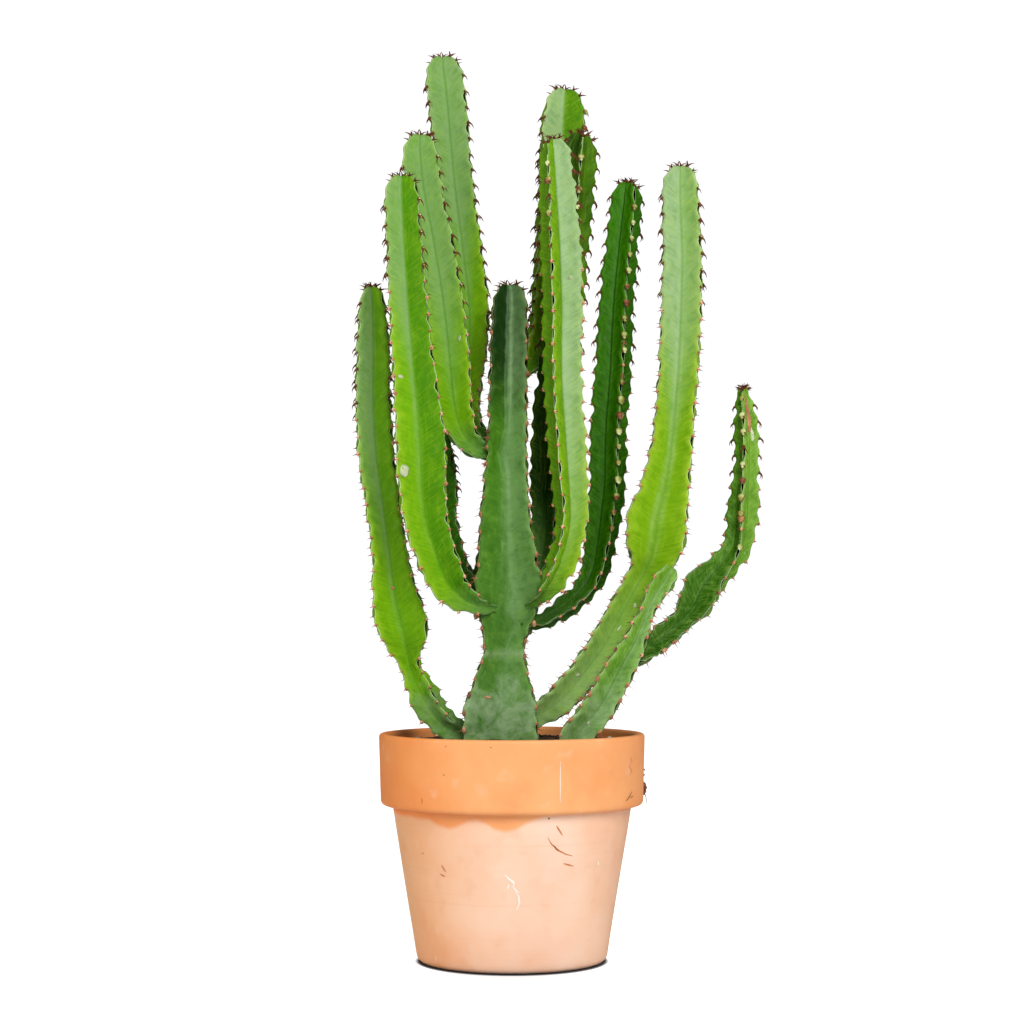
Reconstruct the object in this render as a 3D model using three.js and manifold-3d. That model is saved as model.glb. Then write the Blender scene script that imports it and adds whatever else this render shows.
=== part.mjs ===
// A candelabra spurge in a terracotta pot: a ribbed trunk and twelve ribbed side stems in soil.
// Millimetres, +Z up, the front at -Y. Everything is laid out about the pot's axis, and the whole
// is moved at the end so that the origin is on the floor under the middle of its spread.

import * as THREE from 'three';
import { mergeVertices } from 'three/addons/utils/BufferGeometryUtils.js';
import Module from 'manifold-3d';

const wasm = await Module();
wasm.setup();

// Driving dimensions
const rimRadius = 120; // a 24 cm pot
const potHeight = 204;
const collarHeight = 64;
const collarStep = 11; // how far the collar stands out from the body
const footRadius = 85;
const wall = 8;
const floorThickness = 12;
const drainRadius = 11;
const soilBelowRim = 9;
const toothPitch = 15; // from one tubercle of a rib to the next
const toothDepth = 2.2;
const valleyShare = 0.4; // valley radius as a share of the ribs'
const leafyLength = 180; // the young end of a stem, which still has leaflets
const spineLength = 5;
const gap = 0.35; // between pieces that grow out of each other
const spreadMiddle = 42; // middle of the plant's spread, to the right of the pot's axis

const colours = {
  terracotta: 0xdd9a68,
  soil: 0x4a3526,
  trunk: 0x4f7a33,
  stem: 0x6c9f3c,
  shadedStem: 0x3f6f1c,
};

const front = new THREE.Vector3(0, -1, 0);

// Seeded draws from 0 to 1, so that every run gives the same plant
const drawFactor = 1664525;
const drawStep = 1013904223;
const drawRange = 2 ** 32;

function seeded(seed) {
  let state = seed;
  return () => {
    state = (state * drawFactor + drawStep) % drawRange;
    return state / drawRange;
  };
}

// Triangles that merging has closed up are left out
function solidOf(geometry) {
  const bare = geometry.clone();
  bare.deleteAttribute('normal');
  bare.deleteAttribute('uv');
  const merged = mergeVertices(bare, 1e-4);
  const corners = merged.index.array;
  const open = [];
  for (let i = 0; i < corners.length; i += 3) {
    const [a, b, c] = corners.slice(i, i + 3);
    if (a !== b && b !== c && c !== a) open.push(a, b, c);
  }
  return new wasm.Manifold(new wasm.Mesh({
    numProp: 3,
    vertProperties: new Float32Array(merged.attributes.position.array),
    triVerts: new Uint32Array(open),
  }));
}

function geometryOf(solid) {
  const mesh = solid.getMesh();
  const geometry = new THREE.BufferGeometry();
  geometry.setAttribute('position', new THREE.BufferAttribute(new Float32Array(mesh.vertProperties), 3));
  geometry.setIndex(new THREE.BufferAttribute(new Uint32Array(mesh.triVerts), 1));
  geometry.computeVertexNormals();
  return geometry;
}

// A boolean can leave loose scraps, and only the stem itself is kept
function largestPiece(solid) {
  return solid.decompose().reduce((best, piece) => (piece.volume() > best.volume() ? piece : best));
}

function addMesh(group, name, geometry, color, roughness) {
  const mesh = new THREE.Mesh(geometry, new THREE.MeshStandardMaterial({ color, roughness, metalness: 0 }));
  mesh.name = name;
  group.add(mesh);
}

// Stems. A route's points are [x, y, z, rib radius, turn], from the inside of what the stem grows
// from to its tip. The turn is in degrees from the front to the first of the four ribs.

const routes = {
  trunk: [
    [-10, 0, 150, 34, 45], [-11, 0, 187, 46, 45], [-10, 0, 226, 46, 45], [-9, 0, 244, 39, 45],
    [-8, 0, 262, 31, 45], [-6.5, 0, 283, 26, 45], [-5, 0, 303, 35, 45], [-4, 0, 324, 42, 45],
    [-4, 0, 346, 40, 45], [-6, 0, 408, 31, 45], [-5, 0, 447, 27, 45], [-4, 0, 483, 25, 45],
    [-3, 0, 552, 24, 45], [-2, 0, 595, 22, 45], [-3, 0, 613, 19, 45],
  ],
  stem_left_low: [
    [-36, 0, 200, 12, 30], [-54, 0, 207, 15, 30], [-66, -2, 217, 16, 30], [-76, -4, 231, 17, 32],
    [-84, -5, 247, 16, 34], [-91, -6, 262, 13, 38], [-94.5, -7, 276, 18, 42], [-97, -8, 293, 30, 45],
    [-102.5, -8, 313, 32, 45], [-107, -8, 338, 27, 45], [-111, -8, 369, 22.5, 45],
    [-117.5, -8, 415, 22, 45], [-123, -8, 455, 23, 45], [-126, -8, 505, 22, 45],
    [-126, -8, 551, 21, 45], [-127, -8, 588, 17, 45], [-128, -8, 610, 12, 45],
  ],
  stem_left_front: [
    [-14, -14, 316, 12, 45], [-28, -30, 318, 15, 45], [-42, -40, 324, 17, 45],
    [-55, -46, 336, 21.5, 45], [-62, -50, 350, 24.5, 45], [-68, -54, 366, 25, 45],
    [-75, -56, 390, 27, 45], [-79, -57, 418, 29, 45], [-80, -58, 447, 31, 45], [-82, -58, 479, 30, 45],
    [-87, -58, 527, 26, 45], [-92, -58, 585, 24, 45], [-96, -58, 643, 22, 45], [-98, -58, 682, 21, 45],
    [-98, -58, 702, 18, 45],
  ],
  stem_left_high: [
    [-14, 0, 455, 8, 45], [-34, 0, 464, 14, 45], [-46, 0, 478, 18.5, 45], [-52, 0, 500, 23, 45],
    [-55.5, 0, 527, 25, 45], [-59, 0, 566, 26, 45], [-65, 0, 612, 25, 45], [-72, 0, 653, 24, 45],
    [-80, 0, 694, 24, 45], [-84, 0, 731, 22, 45], [-84, 0, 751, 18, 45],
  ],
  stem_left_tall: [
    [-13, 10, 462, 8, 45], [-28, 26, 474, 12, 45], [-39, 40, 490, 16, 45], [-42.5, 48, 512, 18, 45],
    [-41.5, 51, 536, 21, 45], [-40, 52, 562, 24, 45], [-40, 52, 601, 25, 45], [-46, 52, 652, 25, 45],
    [-53, 52, 706, 24.5, 45], [-58, 52, 759, 24.5, 45], [-62, 52, 802, 25, 45],
    [-64.5, 52, 821, 23, 45], [-65.5, 52, 836, 18, 45],
  ],
  stem_left_back: [
    [-26, 10, 328, 8, 45], [-40, 24, 340, 12, 45], [-49, 36, 353, 15, 45], [-55, 43, 367, 16, 45],
    [-60, 48, 384, 17, 45], [-64, 50, 403, 17.5, 45], [-64.5, 50, 425, 19, 45], [-70, 50, 459, 21, 45],
    [-77, 50, 492, 21, 45], [-84, 50, 530, 20, 45], [-87, 50, 562, 18, 45], [-88, 50, 582, 15, 45],
  ],
  stem_right_front: [
    [12, -14, 318, 9, -25], [24, -28, 325, 12, -25], [33, -38, 336, 14, -25], [41, -43, 350, 15, -25],
    [47, -46, 366, 15.5, -25], [51.5, -48, 384, 16.5, -25], [53, -48, 400, 17, -25],
    [52, -48, 420, 18.5, -25], [50.5, -48, 440, 19.5, -25], [48, -48, 475, 20, -25],
    [45, -48, 525, 20, -25], [45, -48, 591, 21, -25], [43, -48, 645, 21, -25], [41, -48, 681, 19, -25],
    [39, -48, 714, 17, -25], [37, -48, 737, 14, -25],
  ],
  stem_right_tall: [
    [4, 6, 527, 8, 50], [18, 25, 546, 14, 50], [29, 42, 572, 20, 50], [36, 52, 605, 24, 50],
    [40, 56, 653, 25, 50], [45.5, 56, 719, 27, 50], [47.5, 56, 771, 27.5, 50],
    [48.5, 56, 790, 24.5, 50], [50, 56, 806, 19.5, 50],
  ],
  stem_right_back: [
    [18, 8, 342, 8, 10], [31, 22, 361, 15, 10], [36, 26, 389, 19, 10], [36, 26, 422, 21, 10],
    [37, 24, 447, 21, 10], [37, 19, 480, 20.5, 10], [42, 12, 531, 20, 10], [49, 8, 608, 19, 10],
    [54, 8, 662, 19, 10], [58, 8, 700, 19, 10], [61, 8, 734, 18, 10], [64, 8, 754, 14, 10],
  ],
  stem_right_mid: [
    [6, -8, 303, 8, 28], [26, -6, 305, 9, 28], [44, 4, 315, 12, 28], [54, 12, 322, 12.5, 28],
    [68, 20, 336, 14, 28], [76, 25, 352, 15.5, 28], [80, 26, 370, 17, 28], [84, 26, 398, 19, 28],
    [88, 26, 435, 20, 28], [89, 26, 481, 20, 28], [93, 26, 532, 20, 28], [96, 26, 592, 19, 28],
    [101, 26, 647, 18, 28], [106, 26, 692, 17, 28], [107, 26, 712, 14, 28],
  ],
  stem_right_large: [
    [14, 0, 214, 11, 45], [30, -2, 224, 16, 45], [47, -4, 237, 19, 45], [67, -6, 261, 19, 45],
    [83, -6, 283, 20, 45], [99, -6, 311, 20, 45], [112, -6, 335, 19, 45], [119, -6, 347, 19, 45],
    [126, -6, 362, 31, 45], [130, -6, 379, 38, 45], [132, -6, 398, 38, 45], [138, -6, 422, 32, 45],
    [143, -6, 449, 28, 45], [147, -6, 483, 25.5, 45], [151.5, -6, 534, 25.5, 45],
    [154, -6, 589, 26, 45], [155, -6, 638, 25, 45], [153.5, -6, 686, 23.5, 45],
    [153.5, -6, 707, 21.5, 45], [153.5, -6, 721, 17, 45],
  ],
  stem_soil: [
    [38, -42, 160, 14, 45], [49, -42, 186, 18, 45], [61.5, -42, 209, 20, 45], [76.5, -43, 228, 20, 45],
    [88.5, -43, 249, 19, 45], [99, -42, 269, 18, 45], [110, -41, 288, 14, 45],
    [118.5, -39, 310, 10, 45], [126, -37, 326, 11.5, 45], [135.5, -36, 341, 13.5, 45],
    [144, -36, 354, 12, 45],
  ],
  stem_far_right: [
    [104, -31, 271, 12, 45], [118, -17, 280, 16.5, 45], [131, -6, 287, 16, 45],
    [145, -2, 298, 15.5, 45], [156, 0, 308, 15, 45], [165, 0, 320, 21.5, 45], [173, 0, 335, 23.5, 42],
    [185, 0, 349, 18.5, 36], [196, 0, 360, 15, 26], [204.5, 0, 373, 14, 12], [209, 0, 397, 16, -2],
    [211.5, 0, 422, 14, -10], [213.5, 0, 452, 12.5, -12], [213, 0, 482, 12, -12],
    [211.5, 0, 502, 9.5, -12], [210.5, 0, 518, 6, -12],
  ],
};

const stepsPerPoint = 20;

// The smooth line of a stem, with its rib radius and turn carried along it
function lineOf(route) {
  const smooth = (points) => new THREE.CatmullRomCurve3(points, false, 'catmullrom');
  const middle = smooth(route.map(([x, y, z]) => new THREE.Vector3(x, y, z)));
  const girth = smooth(route.map(([, , , ribRadius, turn]) => new THREE.Vector3(ribRadius, turn, 0)));
  middle.arcLengthDivisions = route.length * stepsPerPoint;
  const length = middle.getLength();

  // The place at a distance along the stem: its middle, its rib radius and its two cross axes
  function at(distance) {
    const t = middle.getUtoTmapping(0, Math.min(distance, length));
    const along = middle.getTangent(t);
    const ahead = front.clone().addScaledVector(along, -front.dot(along)).normalize();
    const aside = new THREE.Vector3().crossVectors(along, ahead);
    const { x: ribRadius, y: turn } = girth.getPoint(t);
    const angle = THREE.MathUtils.degToRad(turn);
    return { point: middle.getPoint(t), along, ahead, aside, ribRadius, turn: angle };
  }
  return { length, at };
}

function outwardOf(place, angle) {
  return place.ahead.clone().multiplyScalar(Math.cos(angle)).addScaledVector(place.aside, Math.sin(angle));
}

// Half-round ends: the share of its full girth that a stem has near its tip
function tipShare(distance, length, tipLength) {
  const into = Math.max(0, distance - (length - tipLength)) / tipLength;
  return Math.sqrt(Math.max(0, 1 - into * into));
}

const ribCount = 4;

function ringCount(line) {
  return 2 * Math.round(line.length / toothPitch);
}

// A sphere's grid of rings, laid along the stem: one vertex on each rib and in each valley. The
// teeth of neighbouring ribs alternate, so a rib stands out on every second ring. A valley has a
// vertex on every second ring only, which the odd rings share.
function ribbedGeometry(line, extra) {
  const rings = ringCount(line);
  const around = ribCount * 2;
  const geometry = new THREE.SphereGeometry(1, around, rings);
  const position = geometry.attributes.position;
  for (let ring = 0; ring <= rings; ring += 1) {
    for (let side = 0; side <= around; side += 1) {
      const onRib = side % 2 === 0;
      const shared = !onRib && ring % 2 === 1 && ring > 1 && ring < rings - 1 ? ring - 1 : ring;
      const distance = (line.length * shared) / rings;
      const place = line.at(distance);
      const closed = shared === 0 || shared === rings;
      const full = place.ribRadius * tipShare(distance, line.length, place.ribRadius);
      const notch = (ring + side / 2) % 2 === 0 ? toothDepth * (full / place.ribRadius) : 0;
      const radius = closed ? 0 : (onRib ? full - notch : full * valleyShare) + extra;
      const outward = outwardOf(place, place.turn - (Math.PI * 2 * side) / around);
      const end = ring === rings ? extra : 0;
      const vertex = place.point.clone().addScaledVector(outward, radius).addScaledVector(place.along, end);
      position.setXYZ(ring * (around + 1) + side, vertex.x, vertex.y, vertex.z);
    }
  }
  return geometry;
}

const lines = Object.fromEntries(Object.entries(routes).map(([name, route]) => [name, lineOf(route)]));

// Middles and radii along every stem, to keep one stem's spines out of another
const clearance = 3;
const occupied = Object.entries(lines).flatMap(([name, line]) => {
  const count = Math.ceil(line.length / toothPitch);
  return Array.from({ length: count + 1 }, (_, i) => ({ name, ...line.at((line.length * i) / count) }));
});

function isFree(point, own) {
  return point.z > potHeight && occupied.every(({ name, point: middle, ribRadius }) => (
    name === own || middle.distanceTo(point) > ribRadius + clearance
  ));
}

function placed(geometry, root, direction, sideways) {
  const z = direction.clone().normalize();
  const x = new THREE.Vector3().crossVectors(sideways, z).normalize();
  const y = new THREE.Vector3().crossVectors(z, x);
  const matrix = new THREE.Matrix4().makeBasis(x, y, z).setPosition(root);
  return geometry.clone().applyMatrix4(matrix);
}

// A three-sided needle along +Z with its root at the origin, sunk 2 mm
const spineRadius = 0.9;
const spineSink = 2;
const spineShape = new THREE.ConeGeometry(spineRadius, spineLength + spineSink, 3, 1)
  .rotateX(Math.PI / 2).translate(0, 0, (spineLength - spineSink) / 2);

// A leaflet: a small thick blade, 8 mm long and 5 mm wide
const leafletShape = new THREE.OctahedronGeometry(1).scale(0.8, 2.5, 4).translate(0, 0, 2);

const besideTooth = 2.4; // a spine's root, down the stem from its tooth and down the rib's side

// One spine on a rib's side, just under a tooth
function addSpine(parts, place, angle, radius, side, random, own) {
  const outward = outwardOf(place, angle);
  const sideways = new THREE.Vector3().crossVectors(place.along, outward).multiplyScalar(side);
  const root = place.point.clone().addScaledVector(outward, radius - besideTooth)
    .addScaledVector(place.along, -besideTooth).addScaledVector(sideways, besideTooth * 0.5);
  const direction = outward.clone().addScaledVector(sideways, 0.8 + 0.3 * random())
    .addScaledVector(place.along, 0.3 * random() - 0.2).normalize();
  if (isFree(root.clone().addScaledVector(direction, spineLength), own)) {
    parts.push(solidOf(placed(spineShape, root, direction, place.along)));
  }
}

// A leaflet stands on the rib's edge and droops
function addLeaflet(parts, place, angle, radius, random, own) {
  const outward = outwardOf(place, angle);
  const sideways = new THREE.Vector3().crossVectors(place.along, outward);
  const root = place.point.clone().addScaledVector(outward, radius - spineSink)
    .addScaledVector(place.along, -besideTooth);
  const direction = outward.clone().addScaledVector(place.along, -0.3 - 0.5 * random()).normalize();
  if (isFree(root.clone().addScaledVector(direction, spineLength), own)) {
    parts.push(solidOf(placed(leafletShape, root, direction, sideways)));
  }
}

// Young spines stand in a ring round the growing point
function addCrown(parts, line, random) {
  const place = line.at(line.length - 3);
  const crownSpines = 3;
  for (let i = 0; i < crownSpines; i += 1) {
    const outward = outwardOf(place, (Math.PI * 2 * (i + 0.5 * random())) / crownSpines);
    const direction = outward.clone().multiplyScalar(0.6).add(place.along).normalize();
    parts.push(solidOf(placed(spineShape, place.point, direction, place.aside)));
  }
}

const bareFoot = 26; // no tubercles this near to what the stem grows from
const toothStride = 3; // every third tooth of a rib has its spine or leaflet

function stemSolid(name, seed) {
  const line = lines[name];
  const random = seeded(seed);
  const parts = [solidOf(ribbedGeometry(line, 0))];
  const rings = ringCount(line);
  for (let ring = 1; ring < rings - 1; ring += 1) {
    const distance = (line.length * ring) / rings;
    if (distance < bareFoot) continue;
    const place = line.at(distance);
    const radius = place.ribRadius * tipShare(distance, line.length, place.ribRadius);
    for (let rib = 0; rib < ribCount; rib += 1) {
      const tooth = Math.floor(ring / 2) + rib;
      if ((ring + rib) % 2 === 0 || tooth % toothStride !== 0) continue;
      const angle = place.turn - (Math.PI * 2 * rib) / ribCount;
      const leafy = line.length - distance < leafyLength && name !== 'stem_soil';
      if (leafy) addLeaflet(parts, place, angle, radius, random, name);
      else addSpine(parts, place, angle, radius, tooth % 2 === 0 ? 1 : -1, random, name);
    }
  }
  addCrown(parts, line, random);
  return wasm.Manifold.union(parts);
}

// What a neighbour is cut back by, where it grows out of this stem
function stemCutter(name) {
  return solidOf(ribbedGeometry(lines[name], gap));
}

// Pot: a tapered body under a straight collar, with one drain hole, turned as one closed profile

// Points of a closed outline whose corners [x, y, rounding] are rounded off
function roundedOutline(corners) {
  const path = new THREE.Path();
  corners.forEach(([x, y, rounding = 0], i) => {
    const corner = new THREE.Vector2(x, y);
    const toward = (step) => {
      const [otherX, otherY] = corners[(i + step + corners.length) % corners.length];
      return new THREE.Vector2(otherX, otherY).sub(corner).setLength(rounding).add(corner);
    };
    const enter = rounding ? toward(-1) : corner;
    if (i === 0) path.moveTo(enter.x, enter.y);
    else path.lineTo(enter.x, enter.y);
    if (rounding) path.quadraticCurveTo(x, y, toward(1).x, toward(1).y);
  });
  path.closePath();
  return path.getPoints(3);
}

const collarBottom = potHeight - collarHeight;
const collarTaper = 1.5; // how much narrower the collar is at its bottom
const neckRadius = rimRadius - collarStep - 1;
const innerFootRadius = footRadius - wall;
const innerNeckRadius = neckRadius - wall;
const innerRimRadius = rimRadius - wall;
const innerCollarTaper = 1;
const innerStep = 6; // the inner step to the collar reaches this far above and below the collar's bottom
const footRounding = 8;
const collarRounding = 5;
const lipRounding = 3.5;
const potSides = 36;

function potGeometry() {
  const outline = roundedOutline([
    [drainRadius, 0],
    [footRadius, 0, footRounding],
    [neckRadius, collarBottom],
    [rimRadius - collarTaper, collarBottom, collarRounding],
    [rimRadius, potHeight, lipRounding],
    [innerRimRadius, potHeight, lipRounding],
    [innerRimRadius - innerCollarTaper, collarBottom + innerStep],
    [innerNeckRadius, collarBottom - innerStep],
    [innerFootRadius, floorThickness],
    [drainRadius, floorThickness],
  ]);
  return new THREE.LatheGeometry(outline, potSides).rotateX(Math.PI / 2);
}

// Soil: fills the pot, a little higher round the trunk, with a few half-sunk pebbles

const soilTop = potHeight - soilBelowRim;
const soilPlay = 0.6;
const moundHeight = 3; // of the soil round the stems
const moundRadius = 55;
const moundFoot = 80;
const moundEdge = 0.4;
const pebbles = [ // distance from the pot's axis, turn from the right in degrees, size
  [96, 127, 4], [84, 118, 5], [77, 112, 4], [96, 52, 5], [88, 78, 3.5], [60, 100, 4],
  [92, 160, 4], [90, 200, 5], [95, 235, 4], [70, 255, 4.5], [98, 275, 4], [85, 305, 5],
  [96, 335, 4], [100, 10, 4.5], [102, 28, 3.5],
];

function soilSolid() {
  const edge = innerRimRadius - innerCollarTaper - soilPlay;
  const outline = [
    [0, floorThickness + soilPlay],
    [innerFootRadius - soilPlay, floorThickness + soilPlay],
    [innerNeckRadius - soilPlay, collarBottom - innerStep],
    [edge, collarBottom + innerStep],
    [edge, soilTop],
    [moundFoot, soilTop + moundEdge],
    [moundRadius, soilTop + moundHeight],
    [0, soilTop + moundHeight],
  ].map(([x, y]) => new THREE.Vector2(x, y));
  let soil = solidOf(new THREE.LatheGeometry(outline, potSides).rotateX(Math.PI / 2));
  for (const [distance, turn, size] of pebbles) {
    const angle = THREE.MathUtils.degToRad(turn);
    const stone = new THREE.IcosahedronGeometry(size, 0).scale(1, 0.8, 0.7).rotateZ(angle * 3);
    stone.translate(distance * Math.cos(angle), distance * Math.sin(angle), soilTop + 1);
    soil = soil.add(solidOf(stone));
  }
  return soil;
}

// Assembly

const plant = new THREE.Group();
plant.position.x = -spreadMiddle;

addMesh(plant, 'pot', geometryOf(solidOf(potGeometry())), colours.terracotta, 0.85);

const growsFrom = {
  stem_far_right: ['stem_soil'],
  stem_soil: [],
};
const shaded = ['stem_left_back', 'stem_right_mid', 'stem_right_back'];
const solids = {};
Object.keys(routes).forEach((name, i) => {
  let solid = stemSolid(name, 11 + i);
  const parents = name === 'trunk' ? [] : growsFrom[name] ?? ['trunk'];
  for (const parent of parents) solid = solid.subtract(stemCutter(parent));
  solids[name] = largestPiece(solid);
  const color = name === 'trunk' ? colours.trunk : shaded.includes(name) ? colours.shadedStem : colours.stem;
  addMesh(plant, name, geometryOf(solids[name]), color, 0.45);
});

let soil = soilSolid();
for (const name of ['trunk', 'stem_left_low', 'stem_right_large', 'stem_soil']) {
  soil = soil.subtract(stemCutter(name));
}
addMesh(plant, 'soil', geometryOf(largestPiece(soil)), colours.soil, 0.95);

export default plant;
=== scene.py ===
# A candelabra spurge in a terracotta pot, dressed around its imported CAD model.
# Sizes are in millimetres about the pot's axis until finishPiece puts a mesh in metres in the row frame.
import math
import random

import bmesh
import bpy
import numpy as np
from mathutils import Matrix, Vector, noise


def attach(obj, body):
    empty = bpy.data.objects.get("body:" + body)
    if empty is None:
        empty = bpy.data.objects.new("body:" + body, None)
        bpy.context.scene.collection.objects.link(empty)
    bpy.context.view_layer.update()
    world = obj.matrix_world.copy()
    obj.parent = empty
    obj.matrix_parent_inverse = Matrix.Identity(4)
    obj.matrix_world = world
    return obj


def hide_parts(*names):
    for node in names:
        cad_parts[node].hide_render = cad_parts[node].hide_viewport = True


noise.seed_set(1)  # else noise_vector is seeded by the clock, and no two runs give the same crumbs
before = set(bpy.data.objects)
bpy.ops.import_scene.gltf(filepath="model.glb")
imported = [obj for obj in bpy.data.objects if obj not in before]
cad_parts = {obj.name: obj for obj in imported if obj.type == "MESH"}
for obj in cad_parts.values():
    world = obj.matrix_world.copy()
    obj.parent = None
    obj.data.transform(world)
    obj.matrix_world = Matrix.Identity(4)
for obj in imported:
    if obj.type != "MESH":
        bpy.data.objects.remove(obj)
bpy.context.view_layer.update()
scene = bpy.context.scene
scene.view_settings.view_transform = "Standard"
print("frame loaded,", len(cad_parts), "nodes")

mm = 0.001
potAxisX = -42  # where the pot's axis stands in the row frame


def srgb(code):
    parts = [int(code[i:i + 2], 16) / 255 for i in (1, 3, 5)]
    linear = [p / 12.92 if p <= 0.04045 else ((p + 0.055) / 1.055) ** 2.4 for p in parts]
    return (*linear, 1)


# Adds a node and gives its output: inputs holds values or sockets to link from, and stops fills a colour ramp
# with codes or greys
def addNode(tree, kind, inputs=None, stops=None, out=0, **settings):
    node = tree.nodes.new("ShaderNode" + kind)
    for name, value in settings.items():
        setattr(node, name, value)
    if stops:
        while len(node.color_ramp.elements) < len(stops):
            node.color_ramp.elements.new(0.5)
        for element, (position, colour) in zip(node.color_ramp.elements, stops):
            element.position = position
            element.color = srgb(colour) if isinstance(colour, str) else (colour, colour, colour, 1)
    for socket, value in (inputs or {}).items():
        if isinstance(value, bpy.types.NodeSocket):
            tree.links.new(value, node.inputs[socket])
        else:
            node.inputs[socket].default_value = value
    return node.outputs[out] if node.outputs else None


def startMaterial(name):
    material = bpy.data.materials.new(name)
    material.use_nodes = True
    material.node_tree.nodes.clear()
    return material, material.node_tree


def endMaterial(tree, surface, bump=None):
    shader = addNode(tree, "BsdfPrincipled", {**surface, "Normal": bump} if bump else surface)
    addNode(tree, "OutputMaterial", {"Surface": shader})


# Lays a tint over a colour, from none where amount is low to the most where it is high
def layOver(tree, colour, amount, tint, low=0.0, high=1.0, most=1.0):
    factor = addNode(tree, "MapRange", {0: amount, 1: low, 2: high, 3: 0.0, 4: most})
    return addNode(tree, "Mix", {0: factor, 6: colour, 7: srgb(tint)}, out=2, data_type="RGBA")


# Gives the faces that came after the ones before this material slot
def paintNew(bm, before, slot):
    for face in bm.faces:
        if face not in before:
            face.material_index = slot


# Turns a finished bmesh into a piece that rides on the root body
def finishPiece(name, bm, materials, replaced=None):
    bmesh.ops.translate(bm, vec=(potAxisX, 0, 0), verts=bm.verts)
    bmesh.ops.scale(bm, vec=(mm, mm, mm), verts=bm.verts)
    mesh = bpy.data.meshes.new(name)
    bm.to_mesh(mesh)
    bm.free()
    for material in materials:
        mesh.materials.append(material)
    mesh.polygons.foreach_set("use_smooth", [True] * len(mesh.polygons))
    piece = bpy.data.objects.new(name, mesh)
    scene.collection.objects.link(piece)
    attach(piece, "root")
    if replaced:
        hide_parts(replaced)


camera = {"distance": 2050, "height": 316, "pitch": 2.46, "lens": 79.35, "sensor": 36}

cameraData = bpy.data.cameras.new("camera")
cameraData.lens = camera["lens"]
cameraData.sensor_width = camera["sensor"]
cameraData.sensor_fit = "HORIZONTAL"
cameraObject = bpy.data.objects.new("camera", cameraData)
cameraObject.location = (potAxisX * mm, -camera["distance"] * mm, camera["height"] * mm)
cameraObject.rotation_euler = (math.radians(90 + camera["pitch"]), 0, 0)
scene.collection.objects.link(cameraObject)
scene.camera = cameraObject

# Soft boxes: azimuth from the front to the right, elevation, distance, size and power
softBoxes = {
    "key": {"azimuth": 16, "elevation": 27, "distance": 2.6, "size": 1.1, "power": 54},
    "left": {"azimuth": -68, "elevation": 15, "distance": 2.6, "size": 1.0, "power": 20},
    "right": {"azimuth": 75, "elevation": 12, "distance": 2.6, "size": 1.0, "power": 8},
    "top": {"azimuth": 0, "elevation": 78, "distance": 2.4, "size": 1.4, "power": 8},
}
lightAim = Vector((potAxisX * mm, 0, 0.42))  # half way up the plant
for name, box in softBoxes.items():
    lamp = bpy.data.lights.new(name, "AREA")
    lamp.energy = box["power"]
    lamp.size = box["size"]
    azimuth, elevation = math.radians(box["azimuth"]), math.radians(box["elevation"])
    toward = Vector((math.sin(azimuth) * math.cos(elevation), -math.cos(azimuth) * math.cos(elevation),
                     math.sin(elevation)))
    lampObject = bpy.data.objects.new(name, lamp)
    lampObject.location = lightAim + toward * box["distance"]
    lampObject.rotation_euler = toward.to_track_quat("Z", "Y").to_euler()
    scene.collection.objects.link(lampObject)

studio = {
    "room": 0.2,  # how much the white room lights the plant
    "backdrop": 1.05,  # how bright its backdrop shows
    "floorRadius": 9, "floorDrop": 0.0005,
    "contactShadow": (0.0835, 0.0895),  # a painted contact shadow: the dark line at the pot's foot, in metres from its axis
    "shadowHalo": (0.04, 0.112), "haloShade": 0.45,  # the painted soft shadow, in metres from a point, and how light it is at its darkest
    "haloAhead": 0.05,  # this far ahead of the axis
}
world = bpy.data.worlds.new("white room")
scene.world = world
world.use_nodes = True
worldTree = world.node_tree
worldTree.nodes.clear()
room = addNode(worldTree, "Background", {"Strength": studio["room"], "Color": (1, 1, 1, 1)})
backdrop = addNode(worldTree, "Background", {"Strength": studio["backdrop"], "Color": (1, 1, 1, 1)})
seen = addNode(worldTree, "LightPath", out="Is Camera Ray")
shown = addNode(worldTree, "MixShader", {0: seen, 1: room, 2: backdrop})
addNode(worldTree, "OutputWorld", {"Surface": shown})


# Matt white paper that glows for the camera, bright enough to melt into the backdrop, with a painted contact
# shadow that darkens its colour and glow close round the pot's foot
def studioPaper():
    material, tree = startMaterial("matt white studio paper with painted contact shadow")
    place = addNode(tree, "TexCoord", out="Object")
    away = addNode(tree, "VectorMath", {0: place}, out="Value", operation="LENGTH")
    # painted contact shadow: a dark ring at the foot times a soft halo a little ahead of it
    contactShadow = addNode(tree, "MapRange", {
        0: away, 1: studio["contactShadow"][0], 2: studio["contactShadow"][1]},
        interpolation_type="SMOOTHSTEP")
    ahead = addNode(tree, "VectorMath", {0: place, 1: (0, -studio["haloAhead"], 0)}, out="Value",
                    operation="DISTANCE")
    shadowHalo = addNode(tree, "MapRange", {
        0: ahead, 1: studio["shadowHalo"][0], 2: studio["shadowHalo"][1], 3: studio["haloShade"]},
        interpolation_type="SMOOTHSTEP")
    lit = addNode(tree, "Math", {0: contactShadow, 1: shadowHalo}, operation="MULTIPLY")
    # the paper's colour, painted grey to dark grey inside the painted shadow
    paper = addNode(tree, "ValToRGB", {0: lit}, stops=[(0.0, "#5c5e62"), (0.45, "#c2c4c8"), (1.0, "#f0f1f2")])
    glow = addNode(tree, "LightPath", out="Is Camera Ray")
    strength = addNode(tree, "Math", {0: lit, 1: glow}, operation="MULTIPLY")
    endMaterial(tree, {"Base Color": paper, "Roughness": 0.9, "Specular IOR Level": 0.0,
                       "Emission Color": (1, 1, 1, 1), "Emission Strength": strength})
    return material


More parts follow.
